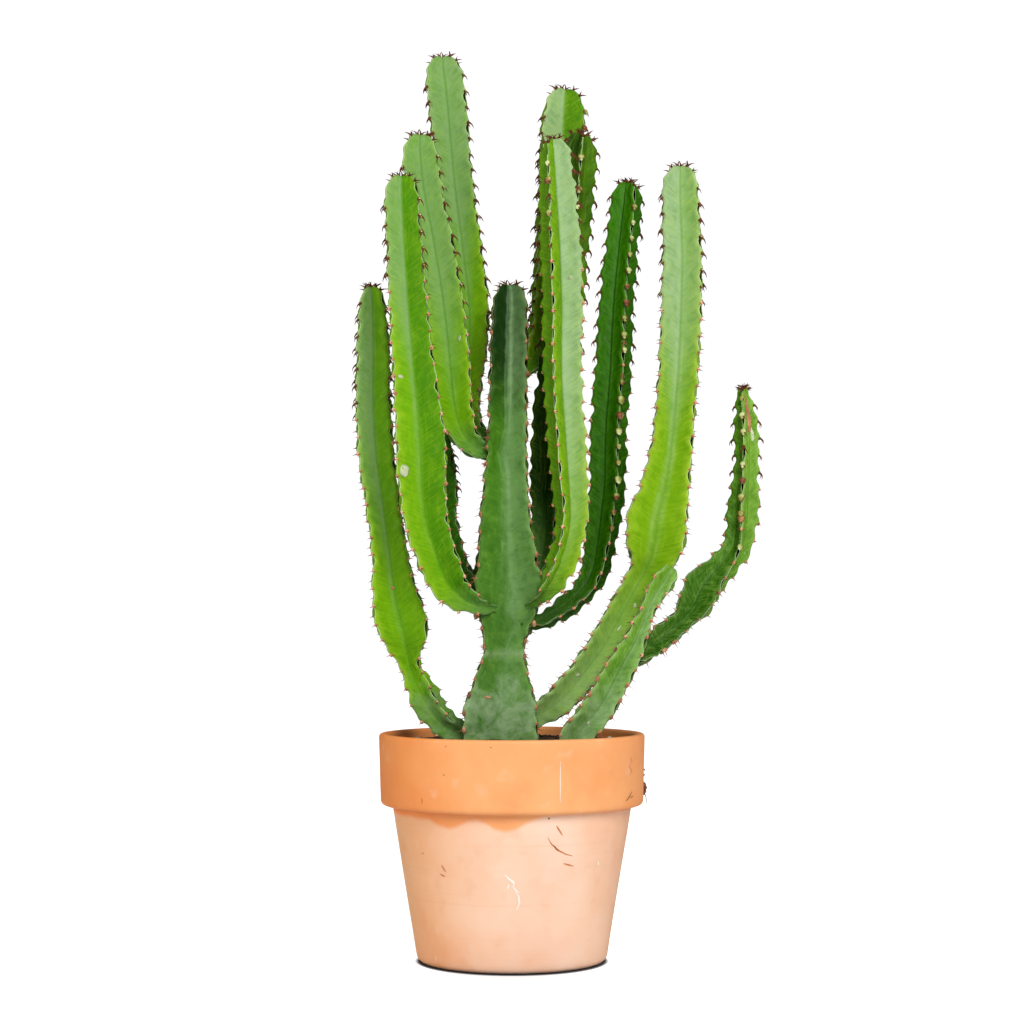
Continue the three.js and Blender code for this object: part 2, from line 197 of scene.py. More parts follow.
floorBm = bmesh.new()
bmesh.ops.create_circle(floorBm, cap_ends=True, segments=96, radius=studio["floorRadius"])
floorMesh = bpy.data.meshes.new("floor")
floorBm.to_mesh(floorMesh)
floorBm.free()
floorMesh.materials.append(studioPaper())
floor = bpy.data.objects.new("floor", floorMesh)
floor.location = (potAxisX * mm, 0, -studio["floorDrop"])
scene.collection.objects.link(floor)
print("camera, lights and floor")

# From the root to the tip: x, y, z, rib radius and, where a stem twists, the first rib's turn from the front
stemRoutes = {
    "trunk": [
        (-10, 0, 150, 34), (-11, 0, 187, 46), (-10, 0, 226, 46), (-9, 0, 244, 39), (-8, 0, 262, 31),
        (-6.5, 0, 283, 26), (-5, 0, 303, 35), (-4, 0, 324, 42), (-4, 0, 346, 40), (-6, 0, 408, 31),
        (-5, 0, 447, 27), (-4, 0, 483, 25), (-3, 0, 552, 24), (-2, 0, 595, 22), (-3, 0, 613, 19)],
    "stem_left_low": [
        (-36, 0, 200, 12, 30), (-54, 0, 207, 15, 30), (-66, -2, 217, 16, 30), (-76, -4, 231, 17, 32),
        (-84, -5, 247, 16, 34), (-91, -6, 262, 13, 38), (-94.5, -7, 276, 18, 42), (-97, -8, 293, 30),
        (-102.5, -8, 313, 32), (-107, -8, 338, 27), (-111, -8, 369, 22.5), (-117.5, -8, 415, 22),
        (-123, -8, 455, 23), (-126, -8, 505, 22), (-126, -8, 551, 21), (-127, -8, 588, 17),
        (-128, -8, 610, 12)],
    "stem_left_front": [
        (-14, -14, 316, 12), (-28, -30, 318, 15), (-42, -40, 324, 17), (-55, -46, 336, 21.5),
        (-62, -50, 350, 24.5), (-68, -54, 366, 25), (-75, -56, 390, 27), (-79, -57, 418, 29),
        (-80, -58, 447, 31), (-82, -58, 479, 30), (-87, -58, 527, 26), (-92, -58, 585, 24),
        (-96, -58, 643, 22), (-98, -58, 682, 21), (-98, -58, 702, 18)],
    "stem_left_high": [
        (-14, 0, 455, 8), (-34, 0, 464, 14), (-46, 0, 478, 18.5), (-52, 0, 500, 23), (-55.5, 0, 527, 25),
        (-59, 0, 566, 26), (-65, 0, 612, 25), (-72, 0, 653, 24), (-80, 0, 694, 24), (-84, 0, 731, 22),
        (-84, 0, 751, 18)],
    "stem_left_tall": [
        (-13, 10, 462, 8), (-28, 26, 474, 12), (-39, 40, 490, 16), (-42.5, 48, 512, 18), (-41.5, 51, 536, 21),
        (-40, 52, 562, 24), (-40, 52, 601, 25), (-46, 52, 652, 25), (-53, 52, 706, 24.5),
        (-58, 52, 759, 24.5), (-62, 52, 802, 25), (-64.5, 52, 821, 23), (-65.5, 52, 836, 18)],
    "stem_left_back": [
        (-26, 10, 328, 8), (-40, 24, 340, 12), (-49, 36, 353, 15), (-55, 43, 367, 16), (-60, 48, 384, 17),
        (-64, 50, 403, 17.5), (-64.5, 50, 425, 19), (-70, 50, 459, 21), (-77, 50, 492, 21),
        (-84, 50, 530, 20), (-87, 50, 562, 18), (-88, 50, 582, 15)],
    "stem_right_front": [
        (12, -14, 318, 9), (24, -28, 325, 12), (33, -38, 336, 14), (41, -43, 350, 15), (47, -46, 366, 15.5),
        (51.5, -48, 384, 16.5), (53, -48, 400, 17), (52, -48, 420, 18.5), (50.5, -48, 440, 19.5),
        (48, -48, 475, 20), (45, -48, 525, 20), (45, -48, 591, 21), (43, -48, 645, 21), (41, -48, 681, 19),
        (39, -48, 714, 17), (37, -48, 737, 14)],
    "stem_right_tall": [
        (4, 6, 527, 8), (18, 25, 546, 14), (29, 42, 572, 20), (36, 52, 605, 24), (40, 56, 653, 25),
        (45.5, 56, 719, 27), (47.5, 56, 771, 27.5), (48.5, 56, 790, 24.5), (50, 56, 806, 19.5)],
    "stem_right_back": [
        (18, 8, 342, 8), (31, 22, 361, 15), (36, 26, 389, 19), (36, 26, 422, 21), (37, 24, 447, 21),
        (37, 19, 480, 20.5), (42, 12, 531, 20), (49, 8, 608, 19), (54, 8, 662, 19), (58, 8, 700, 19),
        (61, 8, 734, 18), (64, 8, 754, 14)],
    "stem_right_mid": [
        (6, -8, 303, 8), (26, -6, 305, 9), (44, 4, 315, 12), (54, 12, 322, 12.5), (68, 20, 336, 14),
        (76, 25, 352, 15.5), (80, 26, 370, 17), (84, 26, 398, 19), (88, 26, 435, 20), (89, 26, 481, 20),
        (93, 26, 532, 20), (96, 26, 592, 19), (101, 26, 647, 18), (106, 26, 692, 17), (107, 26, 712, 14)],
    "stem_right_large": [
        (14, 0, 214, 11), (30, -2, 224, 16), (47, -4, 237, 19), (67, -6, 261, 19), (83, -6, 283, 20),
        (99, -6, 311, 20), (112, -6, 335, 19), (119, -6, 347, 19), (126, -6, 362, 31), (130, -6, 379, 38),
        (132, -6, 398, 38), (138, -6, 422, 32), (143, -6, 449, 28), (147, -6, 483, 25.5),
        (151.5, -6, 534, 25.5), (154, -6, 589, 26), (155, -6, 638, 25), (153.5, -6, 686, 23.5),
        (153.5, -6, 707, 21.5), (153.5, -6, 721, 17)],
    "stem_soil": [
        (38, -42, 160, 14), (49, -42, 186, 18), (61.5, -42, 209, 20), (76.5, -43, 228, 20),
        (88.5, -43, 249, 19), (99, -42, 269, 18), (110, -41, 288, 14), (118.5, -39, 310, 10),
        (126, -37, 326, 11.5), (135.5, -36, 341, 13.5), (144, -36, 354, 12)],
    "stem_far_right": [
        (104, -31, 271, 12), (118, -17, 280, 16.5), (131, -6, 287, 16), (145, -2, 298, 15.5),
        (156, 0, 308, 15), (165, 0, 320, 21.5), (173, 0, 335, 23.5, 42), (185, 0, 349, 18.5, 36),
        (196, 0, 360, 15, 26), (204.5, 0, 373, 14, 12), (209, 0, 397, 16, -2), (211.5, 0, 422, 14, -10),
        (213.5, 0, 452, 12.5, -12),
        (213, 0, 482, 12, -12), (211.5, 0, 502, 9.5, -12), (210.5, 0, 518, 6, -12)],
}
ribTurn = 45  # turn of the first rib where neither its route nor the next line gives another
ribTurns = {"stem_right_front": -25, "stem_right_tall": 50, "stem_right_back": 10, "stem_right_mid": 28}

# These two stems leave the trunk's front as thin necks
neck = {"length": 46, "share": 0.3, "growth": 1.1, "stems": ("stem_left_front", "stem_right_front")}

ribs = 4
stemShape = {
    "toothPitch": 15,  # from one tubercle of a rib to the next
    "toothDepth": 2.2, "toothVary": 0.35,
    "valleyShare": 0.4,
    "valleyPull": 0.8,  # how straight a flank runs before it rounds into the valley
    "crestThickness": 2.0,  # half the thickness of a rib's rounded edge
    "crestPart": 0.125,  # how much of a flank's columns the rounded edge takes
    "columns": 64, "ringSpacing": 2.5, "tipRings": 12, "curveSteps": 20,
    "tipReach": 1.05,  # length of the rounded tip, in rib radii this far before the end
    "tipProbe": 8,
    "tipBlunt": (2.5, 0.44),
    "waver": 0.8,  # how far a rib's edge swings to either side between tubercles
    "uneven": 0.9,  # how far a rib's edge drifts in and out over a few tubercles
    "calmEnds": 40,  # with no drift in this much at both ends
    "fold": 0.75, "foldSlope": 0.9,  # height of the slanting folds under the tubercles
    "crease": 0.07, "creases": 3.3,  # height of the fine creases between the folds, and how many to a fold
    "apexSink": 2.5,
}


# A smooth line through a route, the same Catmull-Rom curve that the CAD uses
class StemLine:
    def __init__(self, route, turn, skew):
        points = np.array([(*point, turn)[:5] for point in route], float)
        ends = 2 * points[:1] - points[1:2], 2 * points[-1:] - points[-2:-1]
        self.points = np.vstack([ends[0], points, ends[1]])
        self.spans = len(route) - 1
        self.t = np.linspace(0, 1, len(route) * stemShape["curveSteps"] + 1)
        steps = np.diff(self.curve(self.t)[:, :3], axis=0)
        self.reach = np.concatenate([[0], np.cumsum(np.linalg.norm(steps, axis=1))])
        self.length = self.reach[-1]
        self.tipLength = stemShape["tipReach"] * self.at([self.length - stemShape["tipProbe"]])[4][0]
        self.ringsPerMm = 2 * round(self.length / stemShape["toothPitch"]) / self.length
        self.drift = self.length % 7  # sets this stem's own unevenness
        self.skew = skew

    def curve(self, t):
        along = np.clip(np.atleast_1d(t), 0, 1) * self.spans
        i = np.minimum(along.astype(int), self.spans - 1)
        w = (along - i)[:, None]
        p0, p1, p2, p3 = (self.points[i + k] for k in range(4))
        m1, m2 = (p2 - p0) / 2, (p3 - p1) / 2
        return ((2 * w ** 3 - 3 * w ** 2 + 1) * p1 + (w ** 3 - 2 * w ** 2 + w) * m1
                + (3 * w ** 2 - 2 * w ** 3) * p2 + (w ** 3 - w ** 2) * m2)

    # Middle, direction, the two cross axes, rib radius and turn at these distances from the root
    def at(self, distances):
        t = np.interp(distances, self.reach, self.t)
        here = self.curve(t)
        along = self.curve(t + 1e-4)[:, :3] - self.curve(t - 1e-4)[:, :3]
        along /= np.linalg.norm(along, axis=1, keepdims=True)
        front = np.array([0.0, -1.0, 0.0])
        ahead = front - along * (along @ front)[:, None]
        ahead /= np.linalg.norm(ahead, axis=1, keepdims=True)
        # a stem beside the pot's axis is turned a little, to face the camera as one on the axis does
        turn = np.radians(here[:, 4]) - here[:, 0] / camera["distance"]
        return here[:, :3], along, ahead, np.cross(along, ahead), here[:, 3], turn

    # Distance from the root where the upright part of the stem is this high
    def distanceAt(self, height):
        heights = self.curve(self.t)[:, 2]
        lowest = int(np.argmin(heights))
        return float(np.interp(height, heights[lowest:], self.reach[lowest:]))


skewedValleys = {"stem_right_front": (3.5, -5)}  # a valley, and how far in mm it lies to one side
stemLines = {name: StemLine(route, ribTurns.get(name, ribTurn), skewedValleys.get(name))
             for name, route in stemRoutes.items()}


def outwardOf(ahead, aside, angle):
    return ahead * np.cos(angle)[..., None] + aside * np.sin(angle)[..., None]


# How far a rib's edge stands out or in at this tooth, from none at both ends of the stem
def unevenEdge(line, distances, tooth, rib):
    ends = np.clip(np.minimum(distances, line.length - distances) / stemShape["calmEnds"], 0, 1)
    drift = line.drift + 2.3 * rib
    waves = 0.6 * np.sin(1.7 * tooth + drift) + 0.4 * np.sin(4.1 * tooth + 2 * drift)
    return stemShape["uneven"] * ends * waves


# How full a stem's section is, from 0 at the shoulder of its tip to 1 at the apex
def fullness(into):
    shoulder, apex = stemShape["tipBlunt"]
    return (1 - into ** shoulder) ** apex


# The section's share, and how far along it is, at a bend from 0 on the shoulder to a right angle on the apex
def tipAt(line, bend):
    into = np.minimum(1, np.sin(bend) ** 0.9)
    return fullness(into), line.length - line.tipLength * (1 - into)


# The section's share along the foot of a stem
def footShare(name, distances):
    if name not in neck["stems"]:
        return np.ones_like(distances)
    grown = np.clip(distances / neck["length"], 0, 1)
    return neck["share"] + (1 - neck["share"]) * grown ** neck["growth"]


# Points of a ribbed skin: phase counts the ribs round the section, whole on a rib's edge, half in a valley
def ribbedSurface(line, distances, share, phase):
    shape = stemShape
    middle, along, ahead, aside, radius, turn = line.at(distances)
    radius, share, turn = radius[:, None], share[:, None], turn[:, None]
    rib = np.round(phase)
    side, off = np.sign(phase - rib), np.abs(phase - rib)
    roundOff = np.clip(off / shape["crestPart"], 0, 1) * math.pi / 2
    down = np.clip((off - shape["crestPart"]) / (0.5 - shape["crestPart"]), 0, 1)

    tooth = (distances[:, None] * line.ringsPerMm + rib + 1) / 2  # whole at a tubercle
    depth = shape["toothDepth"] * (1 + shape["toothVary"] * np.sin(2.6 * tooth + line.drift + rib))
    ribRadius = radius - depth * (1 - (0.5 + 0.5 * np.cos(2 * math.pi * tooth)) ** 1.2)
    ribRadius += unevenEdge(line, distances[:, None], tooth, rib)
    closing = np.where(distances[:, None] > line.length / 2, 1 - share, 0)
    valley = radius * (shape["valleyShare"] + 0.3 * closing ** 2) / math.sqrt(2)
    crest = np.minimum(shape["crestThickness"] + 0.02 * radius, 0.6 * valley)
    pull = shape["valleyPull"] * (valley - crest)
    up = 1 - down
    x = up ** 2 * (ribRadius - crest) + 2 * up * down * (valley + pull) + down ** 2 * valley
    y = up ** 2 * crest + 2 * up * down * (valley - pull) + down ** 2 * valley
    x = np.where(down > 0, x, ribRadius - crest + crest * np.cos(roundOff))
    y = np.where(down > 0, y, crest * np.sin(roundOff))
    crestness = np.clip((x - valley) / np.maximum(ribRadius - valley, 1), 0, 1)
    swing = shape["waver"] * np.sin(2 * math.pi * (tooth / 2 + 0.13 * rib)) * crestness ** 2
    slant = tooth + shape["foldSlope"] * (ribRadius - x) / shape["toothPitch"]
    fold = shape["fold"] * np.cos(2 * math.pi * slant) * np.sin(math.pi * crestness ** 1.4)
    creases = np.sin(2 * math.pi * shape["creases"] * slant + 2 * np.sin(1.3 * tooth))
    fold += shape["crease"] * creases * crestness * (1 - crestness) * 4
    fold *= down > 0
    y = (y + fold) * side + swing
    first = outwardOf(ahead[:, None], aside[:, None], turn - 2 * math.pi * rib / ribs)
    second = outwardOf(ahead[:, None], aside[:, None], turn - 2 * math.pi * (rib + 1) / ribs)
    middle = middle[:, None]
    if line.skew:
        valleyPhase, shift = line.skew
        toValley = np.clip(1 - 2 * np.abs(phase - valleyPhase), 0, 1) * down ** 2
        toSide = turn - 2 * math.pi * valleyPhase / ribs + math.pi / 2
        across = outwardOf(ahead[:, None], aside[:, None], toSide)
        middle = middle + across * (shift * share * toValley)[..., None]
    sink = shape["apexSink"] * (closing ** 3 + 1.2 * (1 - crestness) * closing * share)
    return (middle + first * (x * share)[..., None] + second * (y * share)[..., None]
            - along[:, None] * sink[..., None])


# The trunk swells towards the feet of the stems that grow out of it
swelling = {
    "reach": 30, "pull": 0.85, "footEnds": (4, 40), "footSteps": 10,
    "from": ("stem_left_front", "stem_right_front", "stem_right_mid", "stem_left_high", "stem_left_back",
             "stem_right_back"),
}


def swellTowardsFeet(points):
    flat = points.reshape(-1, 3)
    for name in swelling["from"]:
        feet = stemLines[name].at(np.linspace(*swelling["footEnds"], swelling["footSteps"]))[0]
        gaps = np.linalg.norm(flat[:, None] - feet[None], axis=2)
        nearest = feet[np.argmin(gaps, axis=1)]
        near = np.clip(1 - gaps.min(axis=1) / swelling["reach"], 0, 1)
        flat = flat + (nearest - flat) * (swelling["pull"] * near ** 2 * (3 - 2 * near))[:, None]
    return flat.reshape(points.shape)


# Ribbed body: a grid rolled into a tube, with its columns on the section and its rings on the line
def stemBody(name):
    line, columns = stemLines[name], stemShape["columns"]
    straight = max(8, round((line.length - line.tipLength) / stemShape["ringSpacing"]))
    lower = np.linspace(0, line.length - line.tipLength, straight + 1)
    tipShare, tipDistances = tipAt(line, np.linspace(0, math.pi / 2, stemShape["tipRings"] + 1)[1:])
    distances = np.concatenate([lower, tipDistances])
    share = np.concatenate([footShare(name, lower), tipShare])
    share[0] = share[-1] = 0
    phase = np.arange(columns + 1) / columns * ribs
    points = ribbedSurface(line, distances, share, phase[None, :])
    if name == "trunk":
        points = swellTowardsFeet(points)

    bm = bmesh.new()
    skinMap = bm.loops.layers.uv.new("skin")
    rings = len(distances) - 1
    bmesh.ops.create_grid(bm, x_segments=columns, y_segments=rings, size=1)
    place = {}
    for vert in bm.verts:
        column = round((vert.co.x + 1) / 2 * columns)
        ring = round((vert.co.y + 1) / 2 * rings)
        place[vert] = (phase[column], distances[ring] * line.ringsPerMm / 2)
        vert.co = points[ring, column]
    for face in bm.faces:
        for loop in face.loops:
            loop[skinMap].uv = place[loop.vert]
    bmesh.ops.remove_doubles(bm, verts=bm.verts, dist=0.005)
    bmesh.ops.recalc_face_normals(bm, faces=bm.faces)
    return bm


# What stands on the ribs is made once as a template, rooted at the origin, outward along +Z and with the
# stem's own direction along +Y
templates = {}


def keepTemplate(name, bm):
    bmesh.ops.recalc_face_normals(bm, faces=bm.faces)
    mesh = bpy.data.meshes.new("template " + name)
    bm.to_mesh(mesh)
    bm.free()
    templates[name] = mesh


# A tapered curved needle, drawn out ring by ring in the plane of its lean and turned to its heading
def addSpine(bm, length, thickness, lean, curl, heading, sides=5, steps=4):
    spineMap = bm.loops.layers.uv.verify()
    ring = bmesh.ops.create_circle(bm, cap_ends=False, segments=sides, radius=thickness)["verts"]
    rows = {v: 0 for v in ring}
    edges = list({e for v in ring for e in v.link_edges})
    bmesh.ops.transform(bm, matrix=Matrix.Rotation(lean, 4, "Y"), verts=ring)
    faces = []
    for step in range(1, steps + 1):
        grown = bmesh.ops.extrude_edge_only(bm, edges=edges)["geom"]
        ring = [g for g in grown if isinstance(g, bmesh.types.BMVert)]
        edges = [g for g in grown if isinstance(g, bmesh.types.BMEdge)]
        faces += [g for g in grown if isinstance(g, bmesh.types.BMFace)]
        angle = lean + curl * (step - 0.5) / steps
        stride = Vector((math.sin(angle), 0, math.cos(angle))) * (length / steps)
        middle = sum((v.co for v in ring), Vector()) / len(ring)
        shrink = (steps - step + 0.12) / (steps - step + 1.12)
        bmesh.ops.translate(bm, vec=-middle, verts=ring)
        bmesh.ops.scale(bm, vec=(shrink, shrink, shrink), verts=ring)
        bmesh.ops.rotate(bm, cent=(0, 0, 0), matrix=Matrix.Rotation(curl / steps, 3, "Y"), verts=ring)
        bmesh.ops.translate(bm, vec=middle + stride, verts=ring)
        rows.update({v: step / steps for v in ring})
    faces += bmesh.ops.contextual_create(bm, geom=edges)["faces"]
    for face in faces:
        face.material_index = 1
        for loop in face.loops:
            loop[spineMap].uv = (0.5, rows[loop.vert])
    toHeading = Matrix.Rotation(math.radians(heading), 3, "Z")
    bmesh.ops.rotate(bm, cent=(0, 0, 0), matrix=toHeading, verts=list(rows))


# A shield as a flat bead of cork (0) or, while it is young, of horn (1), with its spines: length, thickness
# at the root, lean, curl and heading of each, where 0 is to one side and -90 is down the stem
spineCushions = {
    "youngSpines": {"bead": (2.6, 3.2, 1.8), "shield": 1, "spines": [
        (9.2, 1.15, 0.3, 2.0, -60), (8.6, 1.1, 0.35, 2.0, -120)]},
    "grownSpines": {"bead": (3.1, 3.9, 1.7), "shield": 0, "spines": [
        (5.4, 0.62, 1.0, 0.35, -12), (5.4, 0.62, 1.0, 0.35, -168)]},
    "oldSpines": {"bead": (3.4, 6.0, 1.5), "shield": 0, "spines": [
        (6.8, 0.5, 0.6, 0.15, -25), (6.4, 0.5, 0.7, 0.2, 200), (3.6, 0.4, 0.3, 0.2, 90)]},
    "crownSpines": {"bead": (2.8, 3.2, 1.8), "shield": 1, "spines": [
        (8.4, 1.15, 0.45, 0.8, 15), (7.8, 1.1, 0.5, 0.9, 165), (5.6, 0.9, 0.3, 0.6, -90)]},
}
for name, cushion in spineCushions.items():
    bm = bmesh.new()
    bead = bmesh.ops.create_uvsphere(bm, u_segments=8, v_segments=5, radius=0.5)["verts"]
    for face in bm.faces:
        face.material_index = cushion["shield"]
    width, height, rise = cushion["bead"]
    bmesh.ops.scale(bm, vec=(width, height, rise * 2), verts=bead)
    for spine in cushion["spines"]:
        addSpine(bm, *spine)
    keepTemplate(name, bm)

# Dead spines and leaf ends matted into a tuft; the spans are of length, thickness, lean, curl and heading
tuft = {"spines": 11, "seed": 3, "knot": 1.8,
        "spans": [(3.5, 7), (0.4, 0.9), (0.2, 1.3), (-0.9, 1.2), (0, 360)]}
draw = random.Random(tuft["seed"])
bm = bmesh.new()
bmesh.ops.create_icosphere(bm, subdivisions=1, radius=tuft["knot"])
for spine in range(tuft["spines"]):
    shape = [draw.uniform(*span) for span in tuft["spans"]]
    addSpine(bm, *shape, steps=3)
keepTemplate("driedTuft", bm)

leafletShapes = {
    "heartLeaflet": {"length": 9.0, "width": 6.4, "thickness": 0.5, "droop": 2.3},
    "smallLeaflet": {"length": 5.6, "width": 2.6, "thickness": 0.45, "droop": 2.0},
}


# A heart-shaped leaflet that stands out from the rib and hangs down, with its sides folded back
def leafletTemplate(name, shape):
    bm = bmesh.new()
    leafMap = bm.loops.layers.uv.new("UVMap")
    bmesh.ops.create_grid(bm, x_segments=4, y_segments=6, size=1)
    for face in bm.faces:
        for loop in face.loops:
            loop[leafMap].uv = ((loop.vert.co.x + 1) / 2, (loop.vert.co.y + 1) / 2)
    for vert in bm.verts:
        u, v = vert.co.x, (vert.co.y + 1) / 2
        width = 0.14 + 0.86 * math.sin(math.pi * v ** 0.62) ** 0.9 if v < 1 else 0.03
        bend = shape["droop"] * min(1, v * 1.5)
        out = shape["length"] * (math.sin(bend) / bend if bend else 1) * v
        hang = shape["length"] * ((1 - math.cos(bend)) / bend if bend else 0) * v
        half = shape["width"] / 2 * width
        vert.co = Vector((u * half, -hang - 0.2 * abs(u) * half, out - 0.45 * u * u * half))
    bmesh.ops.recalc_face_normals(bm, faces=bm.faces)
    bmesh.ops.solidify(bm, geom=list(bm.faces), thickness=shape["thickness"])
    keepTemplate(name, bm)


for name, shape in leafletShapes.items():
    leafletTemplate(name, shape)
print("templates:", ", ".join(templates))


# Sets a copy of a template on a rib, with its slots counted from this one
def setOn(bm, name, root, outward, along, size, slot=0):
    y = (along - outward * along.dot(outward)).normalized()
    turn = Matrix((y.cross(outward), y, outward)).transposed().to_4x4()
    copy = templates[name].copy()
    copy.transform(Matrix.Translation(root) @ turn @ Matrix.Scale(size, 4))
    for polygon in copy.polygons:
        polygon.material_index += slot
    bm.from_mesh(copy)
    bpy.data.meshes.remove(copy)


# Middles and radii along all stems, so that nothing on one rib grows through another stem
occupied = {}
for name, line in stemLines.items():
    spots = line.at(np.linspace(0, line.length, math.ceil(line.length / 8) + 1))
    occupied[name] = (spots[0], spots[4])


def isFree(point, own, clearance=1.0):
    for name, (middles, radii) in occupied.items():
        if name != own and np.any(np.linalg.norm(middles - np.array(point), axis=1) < radii + clearance):
            return False
    return True


# For each stem: its skin, how far in mm its young spines and its heart leaflets reach down from the tip, how
# far up its old corky shields and its dull foot reach, how far down its pale bloom and painted light reach,
# and the tone on its eight half flanks, from -1 painted shade to 1 pale bloom with painted light. With the
# first rib at the front right they run from it leftwards: front right, front left, left, left, back, back,
# right, right
stemDress = {
    "trunk": {"skin": "old", "young": 30, "oldBelow": 420, "bloomAndPaintedLightTo": 420,
              "bloomAndPaintedLight": (0.45, -0.25, 0.1, -0.1, 0.2, 0, 0.1, -0.2)},
    "stem_left_low": {"skin": "fresh", "young": 120, "foot": 75, "bloomAndPaintedLightTo": 240,
                      "bloomAndPaintedLight": (-0.3, 0.9, 0.2, -0.2, 0.3, -0.3, 0, 0.1)},
    "stem_left_front": {"skin": "fresh", "young": 90, "foot": 62, "footTint": "#568044", "bloomAndPaintedLightTo": 140,
                        "bloomAndPaintedLight": (-0.7, 0.8, 0.2, -0.3, 0.2, -0.1, 0.3, -0.2)},
    "stem_left_high": {"skin": "fresh", "young": 170, "foot": 50, "bloomAndPaintedLightTo": 210,
                       "bloomAndPaintedLight": (0.75, 0.75, 0.1, -0.2, 0.3, 0, 0.3, -0.2)},
    "stem_left_tall": {"skin": "fresh", "young": 260, "foot": 60, "bloomAndPaintedLightTo": 190,
                       "bloomAndPaintedLight": (0.95, 0.95, -0.2, 0.2, 0.3, 0, -0.3, 0.2)},
    "stem_left_back": {"skin": "shaded", "young": 160, "foot": 50, "bloomAndPaintedLightTo": 120,
                       "bloomAndPaintedLight": (0.2, -0.2, 0, 0.2, 0.3, 0.1, -0.1, 0)},
    "stem_right_front": {"skin": "waxed", "young": 110, "hearts": 80, "foot": 60, "footTint": "#4c7e30",
                         "bloomAndPaintedLightTo": 370, "bloomAndPaintedLight": (-0.85, -0.6, 0, 0.2, 0.3, -0.2, 1, -0.4)},
    "stem_right_tall": {"skin": "waxed", "young": 230, "hearts": 60, "bloomAndPaintedLightTo": 160,
                        "bloomAndPaintedLight": (-0.75, 0.9, 0.2, 0.2, 0.2, 0.3, 0, -0.1)},
    "stem_right_back": {"skin": "paintedDeepShade", "young": 260, "hearts": 80, "foot": 90, "bloomAndPaintedLightTo": 120,
                        "bloomAndPaintedLight": (-1, -1, 0.2, 0, 0.3, 0.1, -0.75, -0.7)},
    "stem_right_mid": {"skin": "shaded", "young": 170, "hearts": 330, "foot": 90, "bloomAndPaintedLightTo": 150,
                       "bloomAndPaintedLight": (0, -0.1, 0.1, 0.2, 0.3, 0, -0.4, -0.3)},
    "stem_right_large": {"skin": "waxed", "young": 120, "oldBelow": 60, "foot": 190, "bloomAndPaintedLightTo": 210,
                         "bloomAndPaintedLight": (0.55, 1, 0.2, -0.3, 0.2, 0, 0.3, -0.2)},
    "stem_soil": {"skin": "dusty", "young": 0, "oldBelow": 140, "bloomAndPaintedLightTo": 150,
                  "bloomAndPaintedLight": (0.25, 0, 0.1, 0.2, 0.2, 0, 0.1, -0.1)},
    "stem_far_right": {"skin": "thin", "young": 90, "hearts": 150, "oldBelow": 60, "bloomAndPaintedLightTo": 260,
                       "bloomAndPaintedLight": (-0.5, -0.4, 0, 0.1, 0.2, 0, 0.35, 0.45)},
}
stemDress = {name: {"hearts": 0, "oldBelow": 0, "foot": 0, **dress} for name, dress in stemDress.items()}
ribDressing = {
    "start": 24,  # no cushion nearer the root than this
    "below": 2.4,  # how far under a tubercle's tip its cushion sits
    "sink": 0.9,  # how deep it is set in the rib
    "lowest": 200,  # no cushion under the soil
    "crown": 9, "crownBend": (0.62, 0.11),  # clusters round the growing point, and where on the tip's bend
}

# Withered things at single tubercles: for each template, the stem with height, rib and size of each
withered = {
    "driedTuft": {
        "trunk": [(288, 0, 0.8), (276, 0, 0.9), (446, 1, 0.8), (356, 0, 0.8), (322, 0, 1.0), (400, 0, 0.6),
                  (280, 1, 0.7), (344, 1, 0.8), (470, 1, 0.8), (500, 0, 0.7)],
        "stem_right_mid": [(560, 0, 0.9), (530, 0, 0.8)], "stem_left_low": [(262, 0, 0.6)],
        "stem_right_large": [(334, 1, 0.6)], "stem_soil": [(330, 1, 0.6), (300, 1, 0.5)],
        "stem_left_front": [(500, 0, 0.5)],
    },
    "heartLeaflet": {"trunk": [(312, 1, 1.1)], "stem_far_right": [(400, 0, 1.0)]},
}

# Healed scars on the flanks of each stem: height, ribs round the section, width, length and slot
skinScars = {
    "stem_left_front": [(438, 0.83, 6, 11, 6), (521, 0.83, 4, 4, 6)],
    "stem_left_low": [(335, 0.54, 4, 3, 3)], "stem_left_high": [(560, 0.2, 3, 5, 6)],
    "stem_far_right": [(494, 3.5, 17, 38, 3), (474, 3.3, 7, 14, 6)],
    "stem_right_large": [(255, 0.66, 5, 4, 6), (300, 0.3, 3, 7, 6), (322, 0.24, 3, 5, 6)],
    "stem_right_front": [(610, 3.3, 4, 4, 6)], "trunk": [(236, 0.7, 3, 2.4, 3)],
    "stem_soil": [(216, 0.45, 4, 4, 6)],
}
flake = {"phasePerMm": 0.026, "ragged": 0.5, "sink": 0.15, "rise": 0.55}


# On a stem: its middle, direction, outward at this many ribs round its section, and its rib radius
def spotOn(line, distance, phase):
    middle, along, ahead, aside, radius, turn = (a[0] for a in line.at([distance]))
    angle = turn - 2 * math.pi * phase / ribs
    return Vector(middle), Vector(along), Vector(ahead * math.cos(angle) + aside * math.sin(angle)), radius


# A closed flake with a ragged outline, moulded to the skin under it
def addScar(bm, line, distance, phase, width, length, slot):
    before = set(bm.faces)
    verts = bmesh.ops.create_icosphere(bm, subdivisions=2, radius=1)["verts"]
    shift = Vector((distance, phase, 0))
    places = [v.co * (1 + flake["ragged"] * noise.noise(v.co * 1.6 + shift)) for v in verts]
    distances = np.array([distance + p.y * length / 2 for p in places])
    phases = np.array([[phase + p.x * width / 2 * flake["phasePerMm"]] for p in places])
    surface = ribbedSurface(line, distances, np.ones(len(places)), phases)[:, 0]
    outward = spotOn(line, distance, phase)[2]
    for vert, place, root in zip(verts, places, surface):
        vert.co = Vector(root) + outward * (flake["sink"] + flake["rise"] * place.z)
    paintNew(bm, before, slot)


